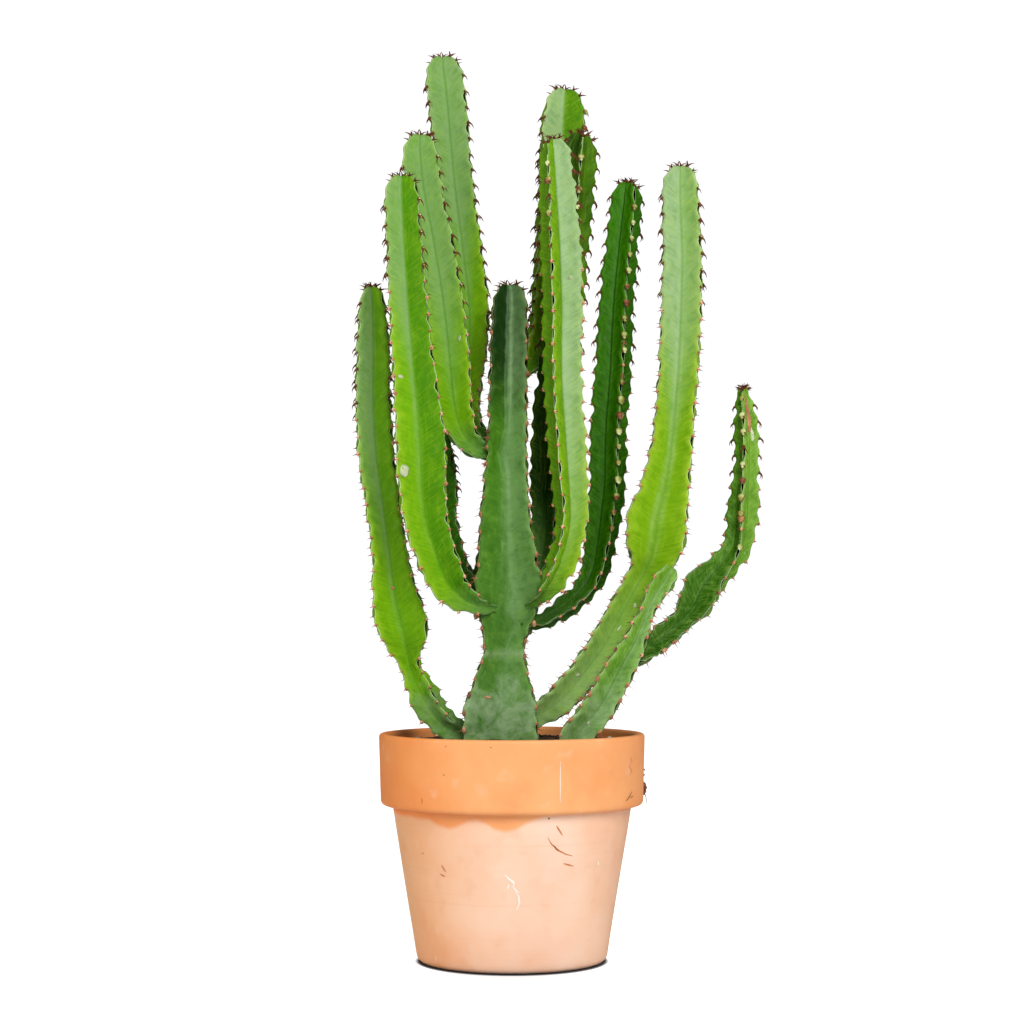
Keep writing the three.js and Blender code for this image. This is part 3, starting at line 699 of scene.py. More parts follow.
# A rib's tubercle on its edge: root, outward, along
def tubercleAt(name, distance, rib, share=1.0):
    line = stemLines[name]
    middle, along, outward, radius = spotOn(line, distance, rib)
    edge = radius + float(unevenEdge(line, distance, (distance * line.ringsPerMm + rib + 1) / 2, rib))
    return middle + outward * (edge * share - ribDressing["sink"]), outward, along


# Slots of this piece: 0 shield, 1 spine, 2 leaflet, 3 dead cork, 4 dead spine, 5 dead leaf, 6 healed scar
def ribDress(name, seed):
    draw = random.Random(seed)
    line, dress = stemLines[name], stemDress[name]
    bm = bmesh.new()
    bm.loops.layers.uv.new("UVMap")
    rings = round(line.length * line.ringsPerMm)
    for ring in range(2, rings):
        distance = line.length * ring / rings
        if distance < ribDressing["start"] or distance > line.length - 0.75 * line.tipLength:
            continue
        fromTip = line.length - distance
        into = max(0, 1 - fromTip / line.tipLength)
        for rib in range(ribs):
            if (ring + rib) % 2 == 0:
                continue
            share = fullness(into) * float(footShare(name, np.array(distance)))
            root, outward, along = tubercleAt(name, distance - ribDressing["below"], rib, share)
            side = along.cross(outward)
            root -= side * stemShape["waver"] * math.sin(2 * math.pi * ((ring + rib + 1) / 4 + 0.13 * rib))
            lift = (outward + along * into * 0.9).normalized()
            if root.z < ribDressing["lowest"] or not isFree(root + lift * 4, name):
                continue
            size = draw.uniform(0.75, 1.15)
            facing = lift + side * draw.uniform(-0.15, 0.15) + along * draw.uniform(-0.12, 0.12)
            facing.normalize()
            leaf = draw.random()
            young, old = fromTip < dress["young"], distance < dress["oldBelow"]
            kind = "youngSpines" if young else "oldSpines" if old else "grownSpines"
            setOn(bm, kind, root, facing, along, size, 3 if kind == "oldSpines" else 0)
            hearts = fromTip < dress["hearts"] and rib == 0 and leaf < 0.8
            if hearts or young and leaf < 0.7:
                leafRoot = root + facing * 0.6 + along * 1.2
                setOn(bm, "heartLeaflet" if hearts else "smallLeaflet", leafRoot, facing, along, size, 2)
    # the crown: clusters up the ends of the ribs, the last of them round the growing point
    firstBend, nextBend = ribDressing["crownBend"]
    for number in range(ribDressing["crown"] if dress["young"] else 0):
        bend = firstBend + nextBend * number
        share, distance = tipAt(line, bend)
        root, outward, along = tubercleAt(name, distance, number * 3 % ribs, share)
        root -= along * stemShape["apexSink"] * (1 - share) ** 3
        facing = (along * math.sin(bend) + outward * (0.15 + math.cos(bend))).normalized()
        size = draw.uniform(0.75, 1.05)
        setOn(bm, "crownSpines", root, facing, outward - along * 0.2, size)
        if number % 2:
            setOn(bm, "smallLeaflet", root, facing, -outward, size * 0.8, 2)
    for template, slot in (("driedTuft", 3), ("heartLeaflet", 5)):
        for height, rib, size in withered[template].get(name, []):
            root, outward, along = tubercleAt(name, line.distanceAt(height), rib)
            setOn(bm, template, root, outward, along, size, slot)
    for height, *scar in skinScars.get(name, []):
        addScar(bm, line, line.distanceAt(height), *scar)
    return bm


# The skin's patterns: the scales of clouds 36 mm across, blotches of 9 mm, splashes of 17 mm, flecks 8 mm
# apart and a grain of 1 mm, and how often streaks and runs come to a rib and to a tubercle
skinPattern = {"clouds": 28.0, "mottle": 110.0, "settled": 60.0, "flecks": 130.0, "grain": 900.0,
               "streaks": (3, 9, 1), "streakSlope": 1.66, "runs": (16, 0.5, 1)}


# Waxy skin of a succulent: green under a thin pale bloom, with painted light and shade on its flanks, a
# painted sheen beside its valleys and a painted shade in them
def waxySkin(name, look, dress, pitches):
    material, tree = startMaterial("waxy skin " + name)
    uv = addNode(tree, "UVMap", uv_map="skin")
    parts = addNode(tree, "SeparateXYZ", {0: uv}).node.outputs
    phase, pitch = parts["X"], parts["Y"]
    place = addNode(tree, "TexCoord", out="Object")
    height = addNode(tree, "SeparateXYZ", {0: place}, out="Z")

    # 0 on a rib's edge, 0.5 in a valley; a tooth is whole at a tubercle
    flank = addNode(tree, "Math", {0: phase, 1: 0.5}, operation="PINGPONG")
    nearest = addNode(tree, "Math", {0: phase}, operation="ROUND")
    parity = addNode(tree, "Math", {0: nearest, 1: 2}, operation="MODULO")
    half = addNode(tree, "Math", {0: parity, 1: 0.5, 2: 0.5}, operation="MULTIPLY_ADD")
    tooth = addNode(tree, "Math", {0: pitch, 1: half}, operation="ADD")
    slant = addNode(tree, "Math", {0: flank, 1: skinPattern["streakSlope"], 2: tooth},
                    operation="MULTIPLY_ADD")
    age = addNode(tree, "Math", {0: pitch, 1: 1 / pitches}, operation="MULTIPLY")

    # streaks about a millimetre apart that climb from the valley to the rib's edge
    streakPlace = addNode(tree, "CombineXYZ", {0: phase, 1: slant})
    streakScale = addNode(tree, "VectorMath", {0: streakPlace, 1: skinPattern["streaks"]},
                          operation="MULTIPLY")
    streaks = addNode(tree, "TexNoise", {"Vector": streakScale, "Scale": 1.0, "Detail": 3.0,
                                         "Roughness": 0.55})
    # long runs down the flanks, clouds some centimetres across, and a grain too fine to see but as sheen
    runPlace = addNode(tree, "CombineXYZ", {0: phase, 1: pitch})
    runScale = addNode(tree, "VectorMath", {0: runPlace, 1: skinPattern["runs"]}, operation="MULTIPLY")
    runs = addNode(tree, "TexNoise", {"Vector": runScale, "Scale": 1.0, "Detail": 2.0})
    clouds = addNode(tree, "TexNoise", {"Vector": place, "Scale": skinPattern["clouds"], "Detail": 4.0})
    mottle = addNode(tree, "TexNoise", {"Vector": place, "Scale": skinPattern["mottle"], "Detail": 5.0,
                                        "Roughness": 0.65})
    grain = addNode(tree, "TexNoise", {"Vector": place, "Scale": skinPattern["grain"], "Detail": 2.0})

    green = addNode(tree, "ValToRGB", {0: age}, stops=[
        (0.0, look["old"]), (look["middleAt"], look["middle"]), (look["youngAt"], look["young"])])
    perPitch = 1 / stemShape["toothPitch"]
    footTop = max(dress["foot"] * perPitch, 0.1)
    dull = addNode(tree, "MapRange", {0: pitch, 1: footTop, 2: footTop / 2.5})
    lively = addNode(tree, "Math", {0: 1.0, 1: dull}, operation="SUBTRACT")

    # each half flank has its own tone: pale bloom with painted light where it is high, painted shade where it
    # is low; the pale fades down the stem and out of the valley
    around = addNode(tree, "Math", {0: phase, 1: 1 / ribs}, operation="MULTIPLY")
    flankStops = [(i / 8 + edge, 0.5 + 0.5 * value) for i, value in enumerate(dress["bloomAndPaintedLight"])
                  for edge in (0.012, 0.113)]
    flankTone = addNode(tree, "ValToRGB", {0: around}, stops=flankStops)
    tone = addNode(tree, "Math", {0: clouds, 1: 0.3, 2: flankTone}, operation="MULTIPLY_ADD")
    # painted shade: the half flanks with a low tone are laid darker
    green = layOver(tree, green, tone, look["dark"], 0.65, 0.15)
    pale = addNode(tree, "MapRange", {0: tone, 1: 0.65, 2: 1.15})
    bloomAndLightPitch = addNode(tree, "Math", {0: flank, 1: 11, 2: pitch}, operation="MULTIPLY_ADD")
    bloomAndLightReach = dress["bloomAndPaintedLightTo"] * perPitch
    upper = addNode(tree, "MapRange", {0: bloomAndLightPitch, 1: pitches - bloomAndLightReach, 2: pitches - bloomAndLightReach / 3},
                    interpolation_type="SMOOTHSTEP")
    raised = addNode(tree, "MapRange", {0: flank, 1: 0.49, 2: 0.43, 3: 0.55, 4: 1.0})
    uneven = addNode(tree, "Math", {0: mottle, 1: 0.7, 2: 0.62}, operation="MULTIPLY_ADD")
    for part in (upper, raised, uneven):
        pale = addNode(tree, "Math", {0: pale, 1: part}, operation="MULTIPLY")
    # lighter yellow-green margins, shown only on the half flanks painted lit and above the dull foot
    margin = addNode(tree, "Math", {0: mottle, 1: -0.2, 2: flank}, operation="MULTIPLY_ADD")
    margin = addNode(tree, "MapRange", {0: margin, 1: 0.12, 2: -0.1, 3: 0.0, 4: look["margin"]})
    lit = addNode(tree, "MapRange", {0: flankTone, 1: 0.25, 2: 0.6, 3: 0.1, 4: 1.0})
    for part in (lit, lively):
        margin = addNode(tree, "Math", {0: margin, 1: part}, operation="MULTIPLY")
    green = layOver(tree, green, margin, look["light"])
    # pale bloom with painted light on the half flanks with a high tone
    green = layOver(tree, green, pale, look["bloomAndPaintedLight"])
    green = layOver(tree, green, dull, dress.get("footTint", look["foot"]), 0, 1, 0.85)
    for pattern, tint, low, high, most in (
            (streaks, "dark", 0.48, 0.7, look["streaks"]), (streaks, "light", 0.5, 0.32, look["streaks"]),
            (mottle, "dark", 0.5, 0.28, look["mottle"]), (mottle, "light", 0.54, 0.72, look["mottle"]),
            (runs, "light", 0.5, 0.85, 0.3)):
        green = layOver(tree, green, pattern, look[tint], low, high, most)

    # the side turned away from the light near an old tip
    if "shade" in look:
        high = addNode(tree, "MapRange", {0: age, 1: 0.72, 2: 0.88})
        turned = addNode(tree, "MapRange", {0: flankTone, 1: 0.45, 2: 0.38, 3: 0.25, 4: 1.0})
        shade = addNode(tree, "Math", {0: high, 1: turned}, operation="MULTIPLY")
        green = layOver(tree, green, shade, look["shade"], 0, 1, 0.9)

    # a painted sheen beside the valley, a painted shade in it and a pale line on the rib's edge
    beside = addNode(tree, "MapRange", {0: flank, 1: 0.3, 2: 0.43}, interpolation_type="SMOOTHSTEP")
    upwards = addNode(tree, "MapRange", {0: age, 1: 0.15, 2: 0.8, 3: 0.15, 4: 1.0})
    for part in (runs, flankTone, mottle, upwards):
        beside = addNode(tree, "Math", {0: beside, 1: part}, operation="MULTIPLY")
    green = layOver(tree, green, beside, look["bloomAndPaintedLight"], 0.03, 0.22, look["sheen"])
    # painted shade down the valley
    valley = addNode(tree, "Math", {0: mottle, 1: 0.03, 2: flank}, operation="MULTIPLY_ADD")
    green = layOver(tree, green, valley, look["dark"], 0.455, 0.512, look["valley"])
    edgeNoise = addNode(tree, "Math", {0: streaks, 1: 0.03, 2: flank}, operation="MULTIPLY_ADD")
    green = layOver(tree, green, edgeNoise, look["edge"], 0.045, 0.015, 0.8)

    # white flecks of lime, and dust thrown up from the soil in clouds
    cells = addNode(tree, "TexVoronoi", {"Vector": place, "Scale": skinPattern["flecks"]}).node.outputs
    chosen = addNode(tree, "SeparateXYZ", {0: cells["Color"]})
    rare = addNode(tree, "MapRange", {0: chosen, 1: look["flecks"], 2: look["flecks"] + 0.02})
    dot = addNode(tree, "MapRange", {0: cells["Distance"], 1: 0.16, 2: 0.1})
    fleck = addNode(tree, "Math", {0: rare, 1: dot}, operation="MULTIPLY")
    green = layOver(tree, green, fleck, "#d3dfcc", 0, 1, 0.8)
    low = addNode(tree, "MapRange", {0: height, 1: 0.33, 2: 0.23})
    settled = addNode(tree, "TexNoise", {"Vector": place, "Scale": skinPattern["settled"], "Detail": 6.0,
                                         "Roughness": 0.7, "Distortion": 0.6})
    dust = addNode(tree, "Math", {0: low, 1: settled}, operation="MULTIPLY")
    green = layOver(tree, green, dust, "#9db48c", 0.36, 0.62, look["dust"])

    # scurf in the waist between two growth segments
    if "scurf" in look:
        middle, reach = look["scurf"]
        fromBand = addNode(tree, "Math", {0: height, 1: middle}, operation="SUBTRACT")
        fromBand = addNode(tree, "Math", {0: fromBand}, operation="ABSOLUTE")
        band = addNode(tree, "MapRange", {0: fromBand, 1: reach, 2: 0.0})
        band = addNode(tree, "Math", {0: band, 1: settled}, operation="MULTIPLY")
        green = layOver(tree, green, band, "#a9b690", 0.3, 0.6, 0.35)

    rough = addNode(tree, "MapRange", {0: clouds, 1: 0.3, 2: 0.7, 3: look["gloss"], 4: look["gloss"] + 0.14})
    bumpStreaks = addNode(tree, "Bump", {"Height": streaks, "Strength": 0.35, "Distance": 0.0006})
    bump = addNode(tree, "Bump", {"Height": grain, "Strength": 0.12, "Distance": 0.0002,
                                  "Normal": bumpStreaks})
    endMaterial(tree, {"Base Color": green, "Roughness": rough, "IOR": 1.45,
                       "Specular IOR Level": look["specular"]}, bump)
    return material


# The tints of a skin and how strong each pattern shows; flecks is the share of cells without one
freshSkin = {
    "old": "#629806", "middle": "#6ca402", "young": "#6aa40a", "middleAt": 0.35, "youngAt": 1,
    "light": "#94b820", "dark": "#347400", "bloomAndPaintedLight": "#7a9e60", "edge": "#c4d6a4", "foot": "#52803a",
    "sheen": 0.5, "valley": 0.45, "streaks": 0.28, "mottle": 0.25, "margin": 0.6, "flecks": 0.99, "dust": 0.3,
    "gloss": 0.46, "specular": 0.1,
}
dustySkin = {
    **freshSkin, "old": "#4c7834", "middle": "#54841e", "young": "#66961e", "middleAt": 0.5,
    "light": "#8cb450", "dark": "#2c5a0a", "bloomAndPaintedLight": "#9ab888", "edge": "#b8c69a", "foot": "#4c7834",
    "sheen": 0.3, "valley": 0.5, "streaks": 0.3, "mottle": 0.4, "margin": 0.4, "flecks": 0.95, "dust": 0.4,
    "gloss": 0.42, "specular": 0.15,
}
skins = {
    "fresh": freshSkin,
    "waxed": {**freshSkin, "old": "#68980c", "middle": "#74a404", "young": "#6ea20a", "light": "#a2bc30",
              "dark": "#3a7402", "bloomAndPaintedLight": "#94b280", "edge": "#ccdcae", "foot": "#84a65e", "sheen": 0.3,
              "valley": 0.3, "flecks": 0.975, "dust": 0.25},
    # a darker copy of the fresh skin: painted shade for the stems deep in the plant
    "shaded": {**freshSkin, "old": "#265200", "middle": "#265a00", "young": "#387a00", "light": "#4a8208",
               "dark": "#0c3000", "bloomAndPaintedLight": "#7ea26e", "edge": "#b4c896", "foot": "#3e6426", "sheen": 0.1,
               "valley": 0.85, "streaks": 0.4, "mottle": 0.3, "margin": 0.3, "flecks": 0.985, "gloss": 0.38},
    # darker again: painted deep shade for a stem seen in the gap behind others
    "paintedDeepShade": {**freshSkin, "dark": "#123800", "streaks": 0.1, "mottle": 0.1, "margin": 0.1},
    "old": {**freshSkin, "old": "#4e7834", "middle": "#4c8218", "young": "#0e3402", "shade": "#0a2c02",
            "middleAt": 0.7, "youngAt": 0.84, "light": "#6e9c34", "dark": "#265808", "bloomAndPaintedLight": "#86a874",
            "edge": "#a09c6c", "foot": "#4e7834", "sheen": 0.6, "valley": 0.1, "streaks": 0.2, "mottle": 0.5,
            "margin": 0.35, "flecks": 0.97, "dust": 0.6, "gloss": 0.42, "specular": 0.14,
            "scurf": (0.276, 0.016)},  # height and reach of the band, in metres
    "dusty": dustySkin,
    "thin": {**dustySkin, "old": "#225002", "middle": "#4a8208", "young": "#629c10", "bloomAndPaintedLight": "#88b040",
             "dark": "#1a4602", "foot": "#225002", "dust": 0.04},
}


# Shield under a pair of spines: cork that is salmon pink while it lives, orange brown when dead
def corkyShield(name, dark, middle, light):
    material, tree = startMaterial(name)
    place = addNode(tree, "TexCoord", out="Object")
    patches = addNode(tree, "TexNoise", {"Vector": place, "Scale": 70.0, "Detail": 3.0})
    colour = addNode(tree, "ValToRGB", {0: patches}, stops=[(0.3, dark), (0.5, middle), (0.7, light)])
    grain = addNode(tree, "TexNoise", {"Vector": place, "Scale": 1500.0, "Detail": 2.0})
    bump = addNode(tree, "Bump", {"Height": grain, "Strength": 0.5, "Distance": 0.0003})
    endMaterial(tree, {"Base Color": colour, "Roughness": 0.75}, bump)
    return material


# Horny spine: smooth and brown, each colour from the root to the tip
def hornySpine(name, colours):
    material, tree = startMaterial(name)
    uv = addNode(tree, "TexCoord", out="UV")
    up = addNode(tree, "SeparateXYZ", {0: uv}, out="Y")
    colour = addNode(tree, "ValToRGB", {0: up}, stops=[
        (i / (len(colours) - 1), code) for i, code in enumerate(colours)])
    endMaterial(tree, {"Base Color": colour, "Roughness": 0.5, "Specular IOR Level": 0.2})
    return material


# Small fleshy leaf: a dull blade with a browned rim
def leafletBlade(name, brown, middle, light):
    material, tree = startMaterial(name)
    uv = addNode(tree, "TexCoord", out="UV")
    across = addNode(tree, "SeparateXYZ", {0: uv}, out="X")
    place = addNode(tree, "TexCoord", out="Object")
    rim = addNode(tree, "Math", {0: across, 1: 0.5}, operation="PINGPONG")
    patches = addNode(tree, "TexNoise", {"Vector": place, "Scale": 60.0, "Detail": 1.0})
    blade = addNode(tree, "ValToRGB", {0: patches}, stops=[(0.4, brown), (0.5, middle), (0.62, light)])
    colour = layOver(tree, blade, rim, brown, 0.2, 0.04, 0.9)
    endMaterial(tree, {"Base Color": colour, "Roughness": 0.5})
    return material


dressMaterials = [
    corkyShield("living spine shield", "#8a4a2c", "#cf8e68", "#e8b294"),
    hornySpine("living horny spine", ["#5c3016", "#3e1f0e", "#281208"]),
    leafletBlade("leaflet blade", "#7a3c1c", "#8f9a40", "#c4d08a"),
    corkyShield("dead spine shield", "#5e3a26", "#b0754c", "#d8a27c"),
    hornySpine("dead horny spine", ["#9a6a4c", "#5c4438", "#4c4444"]),
    leafletBlade("dead leaflet", "#7a4a20", "#b07c3c", "#caa15e"),
    corkyShield("healed scar", "#98a070", "#bcc49c", "#e2e8d6"),
]
for number, (name, dress) in enumerate(stemDress.items()):
    pitches = stemLines[name].length / stemShape["toothPitch"]
    skin = waxySkin(name, skins[dress["skin"]], dress, pitches)
    finishPiece(name + "_body", stemBody(name), [skin], name)
    finishPiece(name + "_spines", ribDress(name, 40 + number), dressMaterials)
print("stems:", len(stemDress))

pot = {
    "rimRadius": 120, "height": 204, "collarBottom": 140, "neckRadius": 108, "footRadius": 85,
    "wall": 8, "floorThickness": 12, "drainRadius": 11, "sides": 144, "profileStep": 6,
    "collarTaper": 1.5, "innerStep": 6, "innerTaper": 1,
    "uneven": ((0.45, 0.012), (0.12, 0.06)),  # a pressed clay pot is never quite true: how far, and to the mm
}


# Points of a profile with its corners rounded: (radius, height, rounding)
def roundedProfile(corners, steps=5):
    points = []
    for i, (x, z, rounding) in enumerate(corners):
        corner = Vector((x, z))
        before = Vector(corners[i - 1][:2])
        after = Vector(corners[(i + 1) % len(corners)][:2])
        start = corner + (before - corner).normalized() * rounding
        end = corner + (after - corner).normalized() * rounding
        for step in range(steps + 1):
            t = step / steps
            points.append(start * (1 - t) ** 2 + corner * 2 * t * (1 - t) + end * t * t)
    return points


# Adds points between those of a profile that are far apart
def refineProfile(points, reach):
    fine = []
    for here, there in zip(points, points[1:] + points[:1]):
        count = max(1, round((there - here).length / reach))
        fine += [here.lerp(there, k / count) for k in range(count)]
    return fine


# Turns a profile about the pot's axis
def turned(points, sides, closed=True):
    bm = bmesh.new()
    verts = [bm.verts.new((p.x, 0, p.y)) for p in points]
    pairs = list(zip(verts, verts[1:])) + ([(verts[-1], verts[0])] if closed else [])
    edges = [bm.edges.new(pair) for pair in pairs]
    bmesh.ops.spin(bm, geom=verts + edges, cent=(0, 0, 0), axis=(0, 0, 1), angle=2 * math.pi, steps=sides,
                   use_merge=True)
    bmesh.ops.remove_doubles(bm, verts=bm.verts, dist=0.01)
    bmesh.ops.recalc_face_normals(bm, faces=bm.faces)
    return bm


def potBody():
    inner = pot["rimRadius"] - pot["wall"]
    corners = [
        (pot["drainRadius"], 0, 1.5), (pot["footRadius"], 0, 7), (pot["neckRadius"], pot["collarBottom"], 1),
        (pot["rimRadius"] - pot["collarTaper"], pot["collarBottom"], 5),
        (pot["rimRadius"], pot["height"], 3.5), (inner, pot["height"], 3.5),
        (inner - pot["innerTaper"], pot["collarBottom"] + pot["innerStep"], 3),
        (pot["neckRadius"] - pot["wall"], pot["collarBottom"] - pot["innerStep"], 3),
        (pot["footRadius"] - pot["wall"], pot["floorThickness"], 6),
        (pot["drainRadius"], pot["floorThickness"], 1.5)]
    bm = turned(refineProfile(roundedProfile(corners), pot["profileStep"]), pot["sides"])
    for vert in bm.verts:
        uneven = sum(reach * noise.noise(vert.co * scale) for reach, scale in pot["uneven"])
        vert.co += Vector((vert.co.x, vert.co.y, 0)).normalized() * uneven
    return bm


# Where wet clay ends below the collar, and how thick the lime lies, by degrees from the front to the right;
# the lime is laid thickest towards the front right and thinnest on the left, so it is partly a painted
# highlight
clayMap = {
    "wet": [(-180, 0.35), (-120, 0.5), (-95, 0.3), (-60, 0.34), (-42, 0.36), (-37, 0.6), (-31, 0.7),
            (-26, 0.6), (-21, 0.36), (-16, 0.3), (-12, 0.4), (-8, 0.68), (-3, 0.8), (2, 0.7), (6, 0.45),
            (10, 0.28), (16, 0.15), (32, 0.08), (70, 0.1), (110, 0.45), (140, 0.25), (180, 0.35)],
    "wetReach": 0.02,  # metres under the collar where the scale above is 1
    "lime": [(-180, 0.4), (-70, 0.05), (-50, 0.15), (-20, 0.7), (15, 0.95), (40, 0.75), (65, 0.6), (110, 0.2),
             (180, 0.4)],
}


# Unglazed terracotta: fired clay, dull and porous, with a veil of lime drawn out by the water, laid thickest
# where the light falls and so partly a painted highlight
def terracotta():
    material, tree = startMaterial("unglazed terracotta")
    place = addNode(tree, "TexCoord", out="Object")
    parts = addNode(tree, "SeparateXYZ", {0: place}).node.outputs
    fromAxis = addNode(tree, "Math", {0: parts["X"], 1: potAxisX * mm}, operation="SUBTRACT")
    toFront = addNode(tree, "Math", {0: parts["Y"], 1: -1}, operation="MULTIPLY")
    azimuth = addNode(tree, "Math", {0: fromAxis, 1: toFront}, operation="ARCTAN2")
    around = addNode(tree, "Math", {0: azimuth, 1: 0.5 / math.pi, 2: 0.5}, operation="MULTIPLY_ADD")
    clouds = addNode(tree, "TexNoise", {"Vector": place, "Scale": 14.0, "Detail": 5.0})
    blotches = addNode(tree, "TexNoise", {"Vector": place, "Scale": 45.0, "Detail": 5.0})
    grain = addNode(tree, "TexNoise", {"Vector": place, "Scale": 1100.0, "Detail": 3.0})
    # turning marks of the former, fine rings a few millimetres apart
    ringPlace = addNode(tree, "VectorMath", {0: place, 1: (4, 4, 260)}, operation="MULTIPLY")
    turning = addNode(tree, "TexNoise", {"Vector": ringPlace, "Scale": 1.0, "Detail": 2.0})

    wetDepth, limeAndHighlightDepth = (addNode(tree, "ValToRGB", {0: around}, stops=[
        (0.5 + degrees / 360, value) for degrees, value in clayMap[kind]])
        for kind in ("wet", "lime"))
    edge = addNode(tree, "Math", {0: wetDepth, 1: clayMap["wetReach"], 2: parts["Z"]},
                   operation="MULTIPLY_ADD")
    edge = addNode(tree, "Math", {0: blotches, 1: 0.004, 2: edge}, operation="MULTIPLY_ADD")
    dry = addNode(tree, "MapRange", {0: edge, 1: 0.1445, 2: 0.1405})
    body = addNode(tree, "ValToRGB", {0: clouds}, stops=[
        (0.3, "#eea266"), (0.5, "#f3ae74"), (0.7, "#f6b984")])
    collar = addNode(tree, "ValToRGB", {0: clouds}, stops=[
        (0.3, "#ea8030"), (0.5, "#ef8736"), (0.7, "#f29244")])
    # lime with a painted highlight: thickest at the front right, broken by clouds
    limeCloud = addNode(tree, "MapRange", {0: clouds, 1: 0.3, 2: 0.65, 3: 0.6, 4: 1.0})
    lime = addNode(tree, "Math", {0: limeAndHighlightDepth, 1: limeCloud}, operation="MULTIPLY")
    collar = layOver(tree, collar, lime, "#f8c890", 0, 1, 0.6)
    body = layOver(tree, body, lime, "#f7dfd0", 0, 1, 0.75)
    colour = addNode(tree, "Mix", {0: dry, 6: collar, 7: body}, out=2, data_type="RGBA")
    colour = layOver(tree, colour, blotches, "#f8e2d0", 0.6, 0.8, 0.25)
    colour = layOver(tree, colour, blotches, "#dd8c4c", 0.42, 0.25, 0.2)
    colour = layOver(tree, colour, turning, "#dc9560", 0.6, 0.8, 0.15)
    ringBump = addNode(tree, "Bump", {"Height": turning, "Strength": 0.25, "Distance": 0.0005})
    bump = addNode(tree, "Bump", {"Height": grain, "Strength": 0.25, "Distance": 0.0003, "Normal": ringBump})
    endMaterial(tree, {"Base Color": colour, "Roughness": 0.6, "IOR": 1.5}, bump)
    return material


def potRadiusAt(height):
    if height > pot["collarBottom"]:
        below = (pot["height"] - height) / (pot["height"] - pot["collarBottom"])
        return pot["rimRadius"] - pot["collarTaper"] * below
    return pot["footRadius"] + (pot["neckRadius"] - pot["footRadius"]) * height / pot["collarBottom"]


# Scratches, scuffs and smears on the clay: finish, width, and degrees from the front with heights along each
potMarks = [
    ("scratch", 1.5, [(21, 130), (22.5, 126), (24.5, 121)]),
    ("scratch", 1.3, [(17, 120), (19, 114), (23, 108), (27, 104.5), (31, 102.5)]),
    ("dirt", 1.5, [(20, 113), (21.5, 110), (23, 107.5)]),
    ("scratch", 1.4, [(26, 96.5), (29, 95), (32, 93.5)]),
    ("dirt", 1.7, [(17.0, 137), (17.3, 135.4)]),
    ("scratch", 1.4, [(-37.5, 94), (-36.5, 91), (-35, 88)]),
    ("scratch", 1.3, [(-39, 86), (-36, 84)]),
    ("dirt", 1.2, [(-50, 103), (-49.4, 102)]),
    ("scratch", 1.0, [(-41, 153), (-40.8, 148)]),
    ("dirt", 1.0, [(57, 148), (60, 151), (62.5, 156)]),
    ("dirt", 0.9, [(61, 150), (63.5, 151.5)]),
    ("scratch", 0.9, [(60, 186), (62, 182), (59, 178), (62, 174), (60, 170)]),
    ("dirt", 0.9, [(-29.6, 174), (-29, 173.2)]),
    ("dirt", 0.8, [(-28.6, 198), (-27.9, 197.7)]),
    ("dirt", 0.8, [(-9, 198), (-8.3, 197.8)]),
    ("lime", 0.6, [(20.2, 186), (20.2, 170), (20.3, 150)]),
    ("lime", 2.0, [(-3.5, 88), (-1.5, 84), (1, 81), (0.5, 77), (3.6, 72)]),
    ("lime", 1.7, [(1.4, 75), (3.4, 69), (3.8, 63), (2.4, 57)]),
    ("lime", 1.3, [(-1.5, 80), (-2.2, 75)]),
    ("lime", 1.4, [(48, 96), (49, 92)]),
    ("lime", 1.0, [(-50, 12), (-50.2, 7)]),
    ("dirt", 0.9, [(150, 120), (154, 116), (158, 115)]),
    ("scratch", 1.2, [(-140, 90), (-136, 84), (-130, 82)]),
    ("lime", 1.2, [(-165, 60), (-160, 66), (-152, 68)]),
]
mmPerDegree = 1.8
markFinishes = {"scratch": "#c87840", "dirt": "#6e3a22", "lime": "#fcf4ec"}


# A thin smear that lies on the pot's wall, pointed at both ends
def potSmear(bm, width, path, slot):
    steps = max(4, 3 * len(path))
    before = set(bm.faces)
    smear = bmesh.ops.create_grid(bm, x_segments=2, y_segments=steps, size=1)["verts"]
    spread = np.linspace(0, 1, len(path))
    for vert in smear:
        across, t = vert.co.x, (vert.co.y + 1) / 2
        degrees = float(np.interp(t, spread, [p[0] for p in path]))
        height = float(np.interp(t, spread, [p[1] for p in path]))
        thin = 0.5 * width * (0.25 + 0.75 * math.sin(math.pi * t)) * across
        lean = math.atan2(path[-1][1] - path[0][1], (path[-1][0] - path[0][0]) * mmPerDegree)
        degrees -= math.degrees(thin * math.sin(lean) / pot["neckRadius"])
        height += thin * math.cos(lean)
        radius = potRadiusAt(height) + 0.18 * (1 - abs(across)) + 0.3
        azimuth = math.radians(degrees)
        vert.co = Vector((radius * math.sin(azimuth), -radius * math.cos(azimuth), height))
    paintNew(bm, before, slot)


# Dull smear of dirt, lime or bared clay
def smearFinish(name, code):
    material, tree = startMaterial("dull smear of " + name)
    place = addNode(tree, "TexCoord", out="Object")
    patches = addNode(tree, "TexNoise", {"Vector": place, "Scale": 600.0, "Detail": 3.0})
    colour = layOver(tree, srgb(code), patches, "#f0b584", 0.5, 0.7, 0.35)
    endMaterial(tree, {"Base Color": colour, "Roughness": 0.8})
    return material


# A clump of earth stuck to the collar's right side, with a root hanging from it: degrees, height, radius
earthCrumbs = [(88.5, 155, 2.6), (90, 151.5, 2.2), (87, 157.5, 1.8), (89.5, 158.5, 1.3), (88, 171, 0.9),
               (90, 166, 0.9), (90.5, 149, 1.4)]


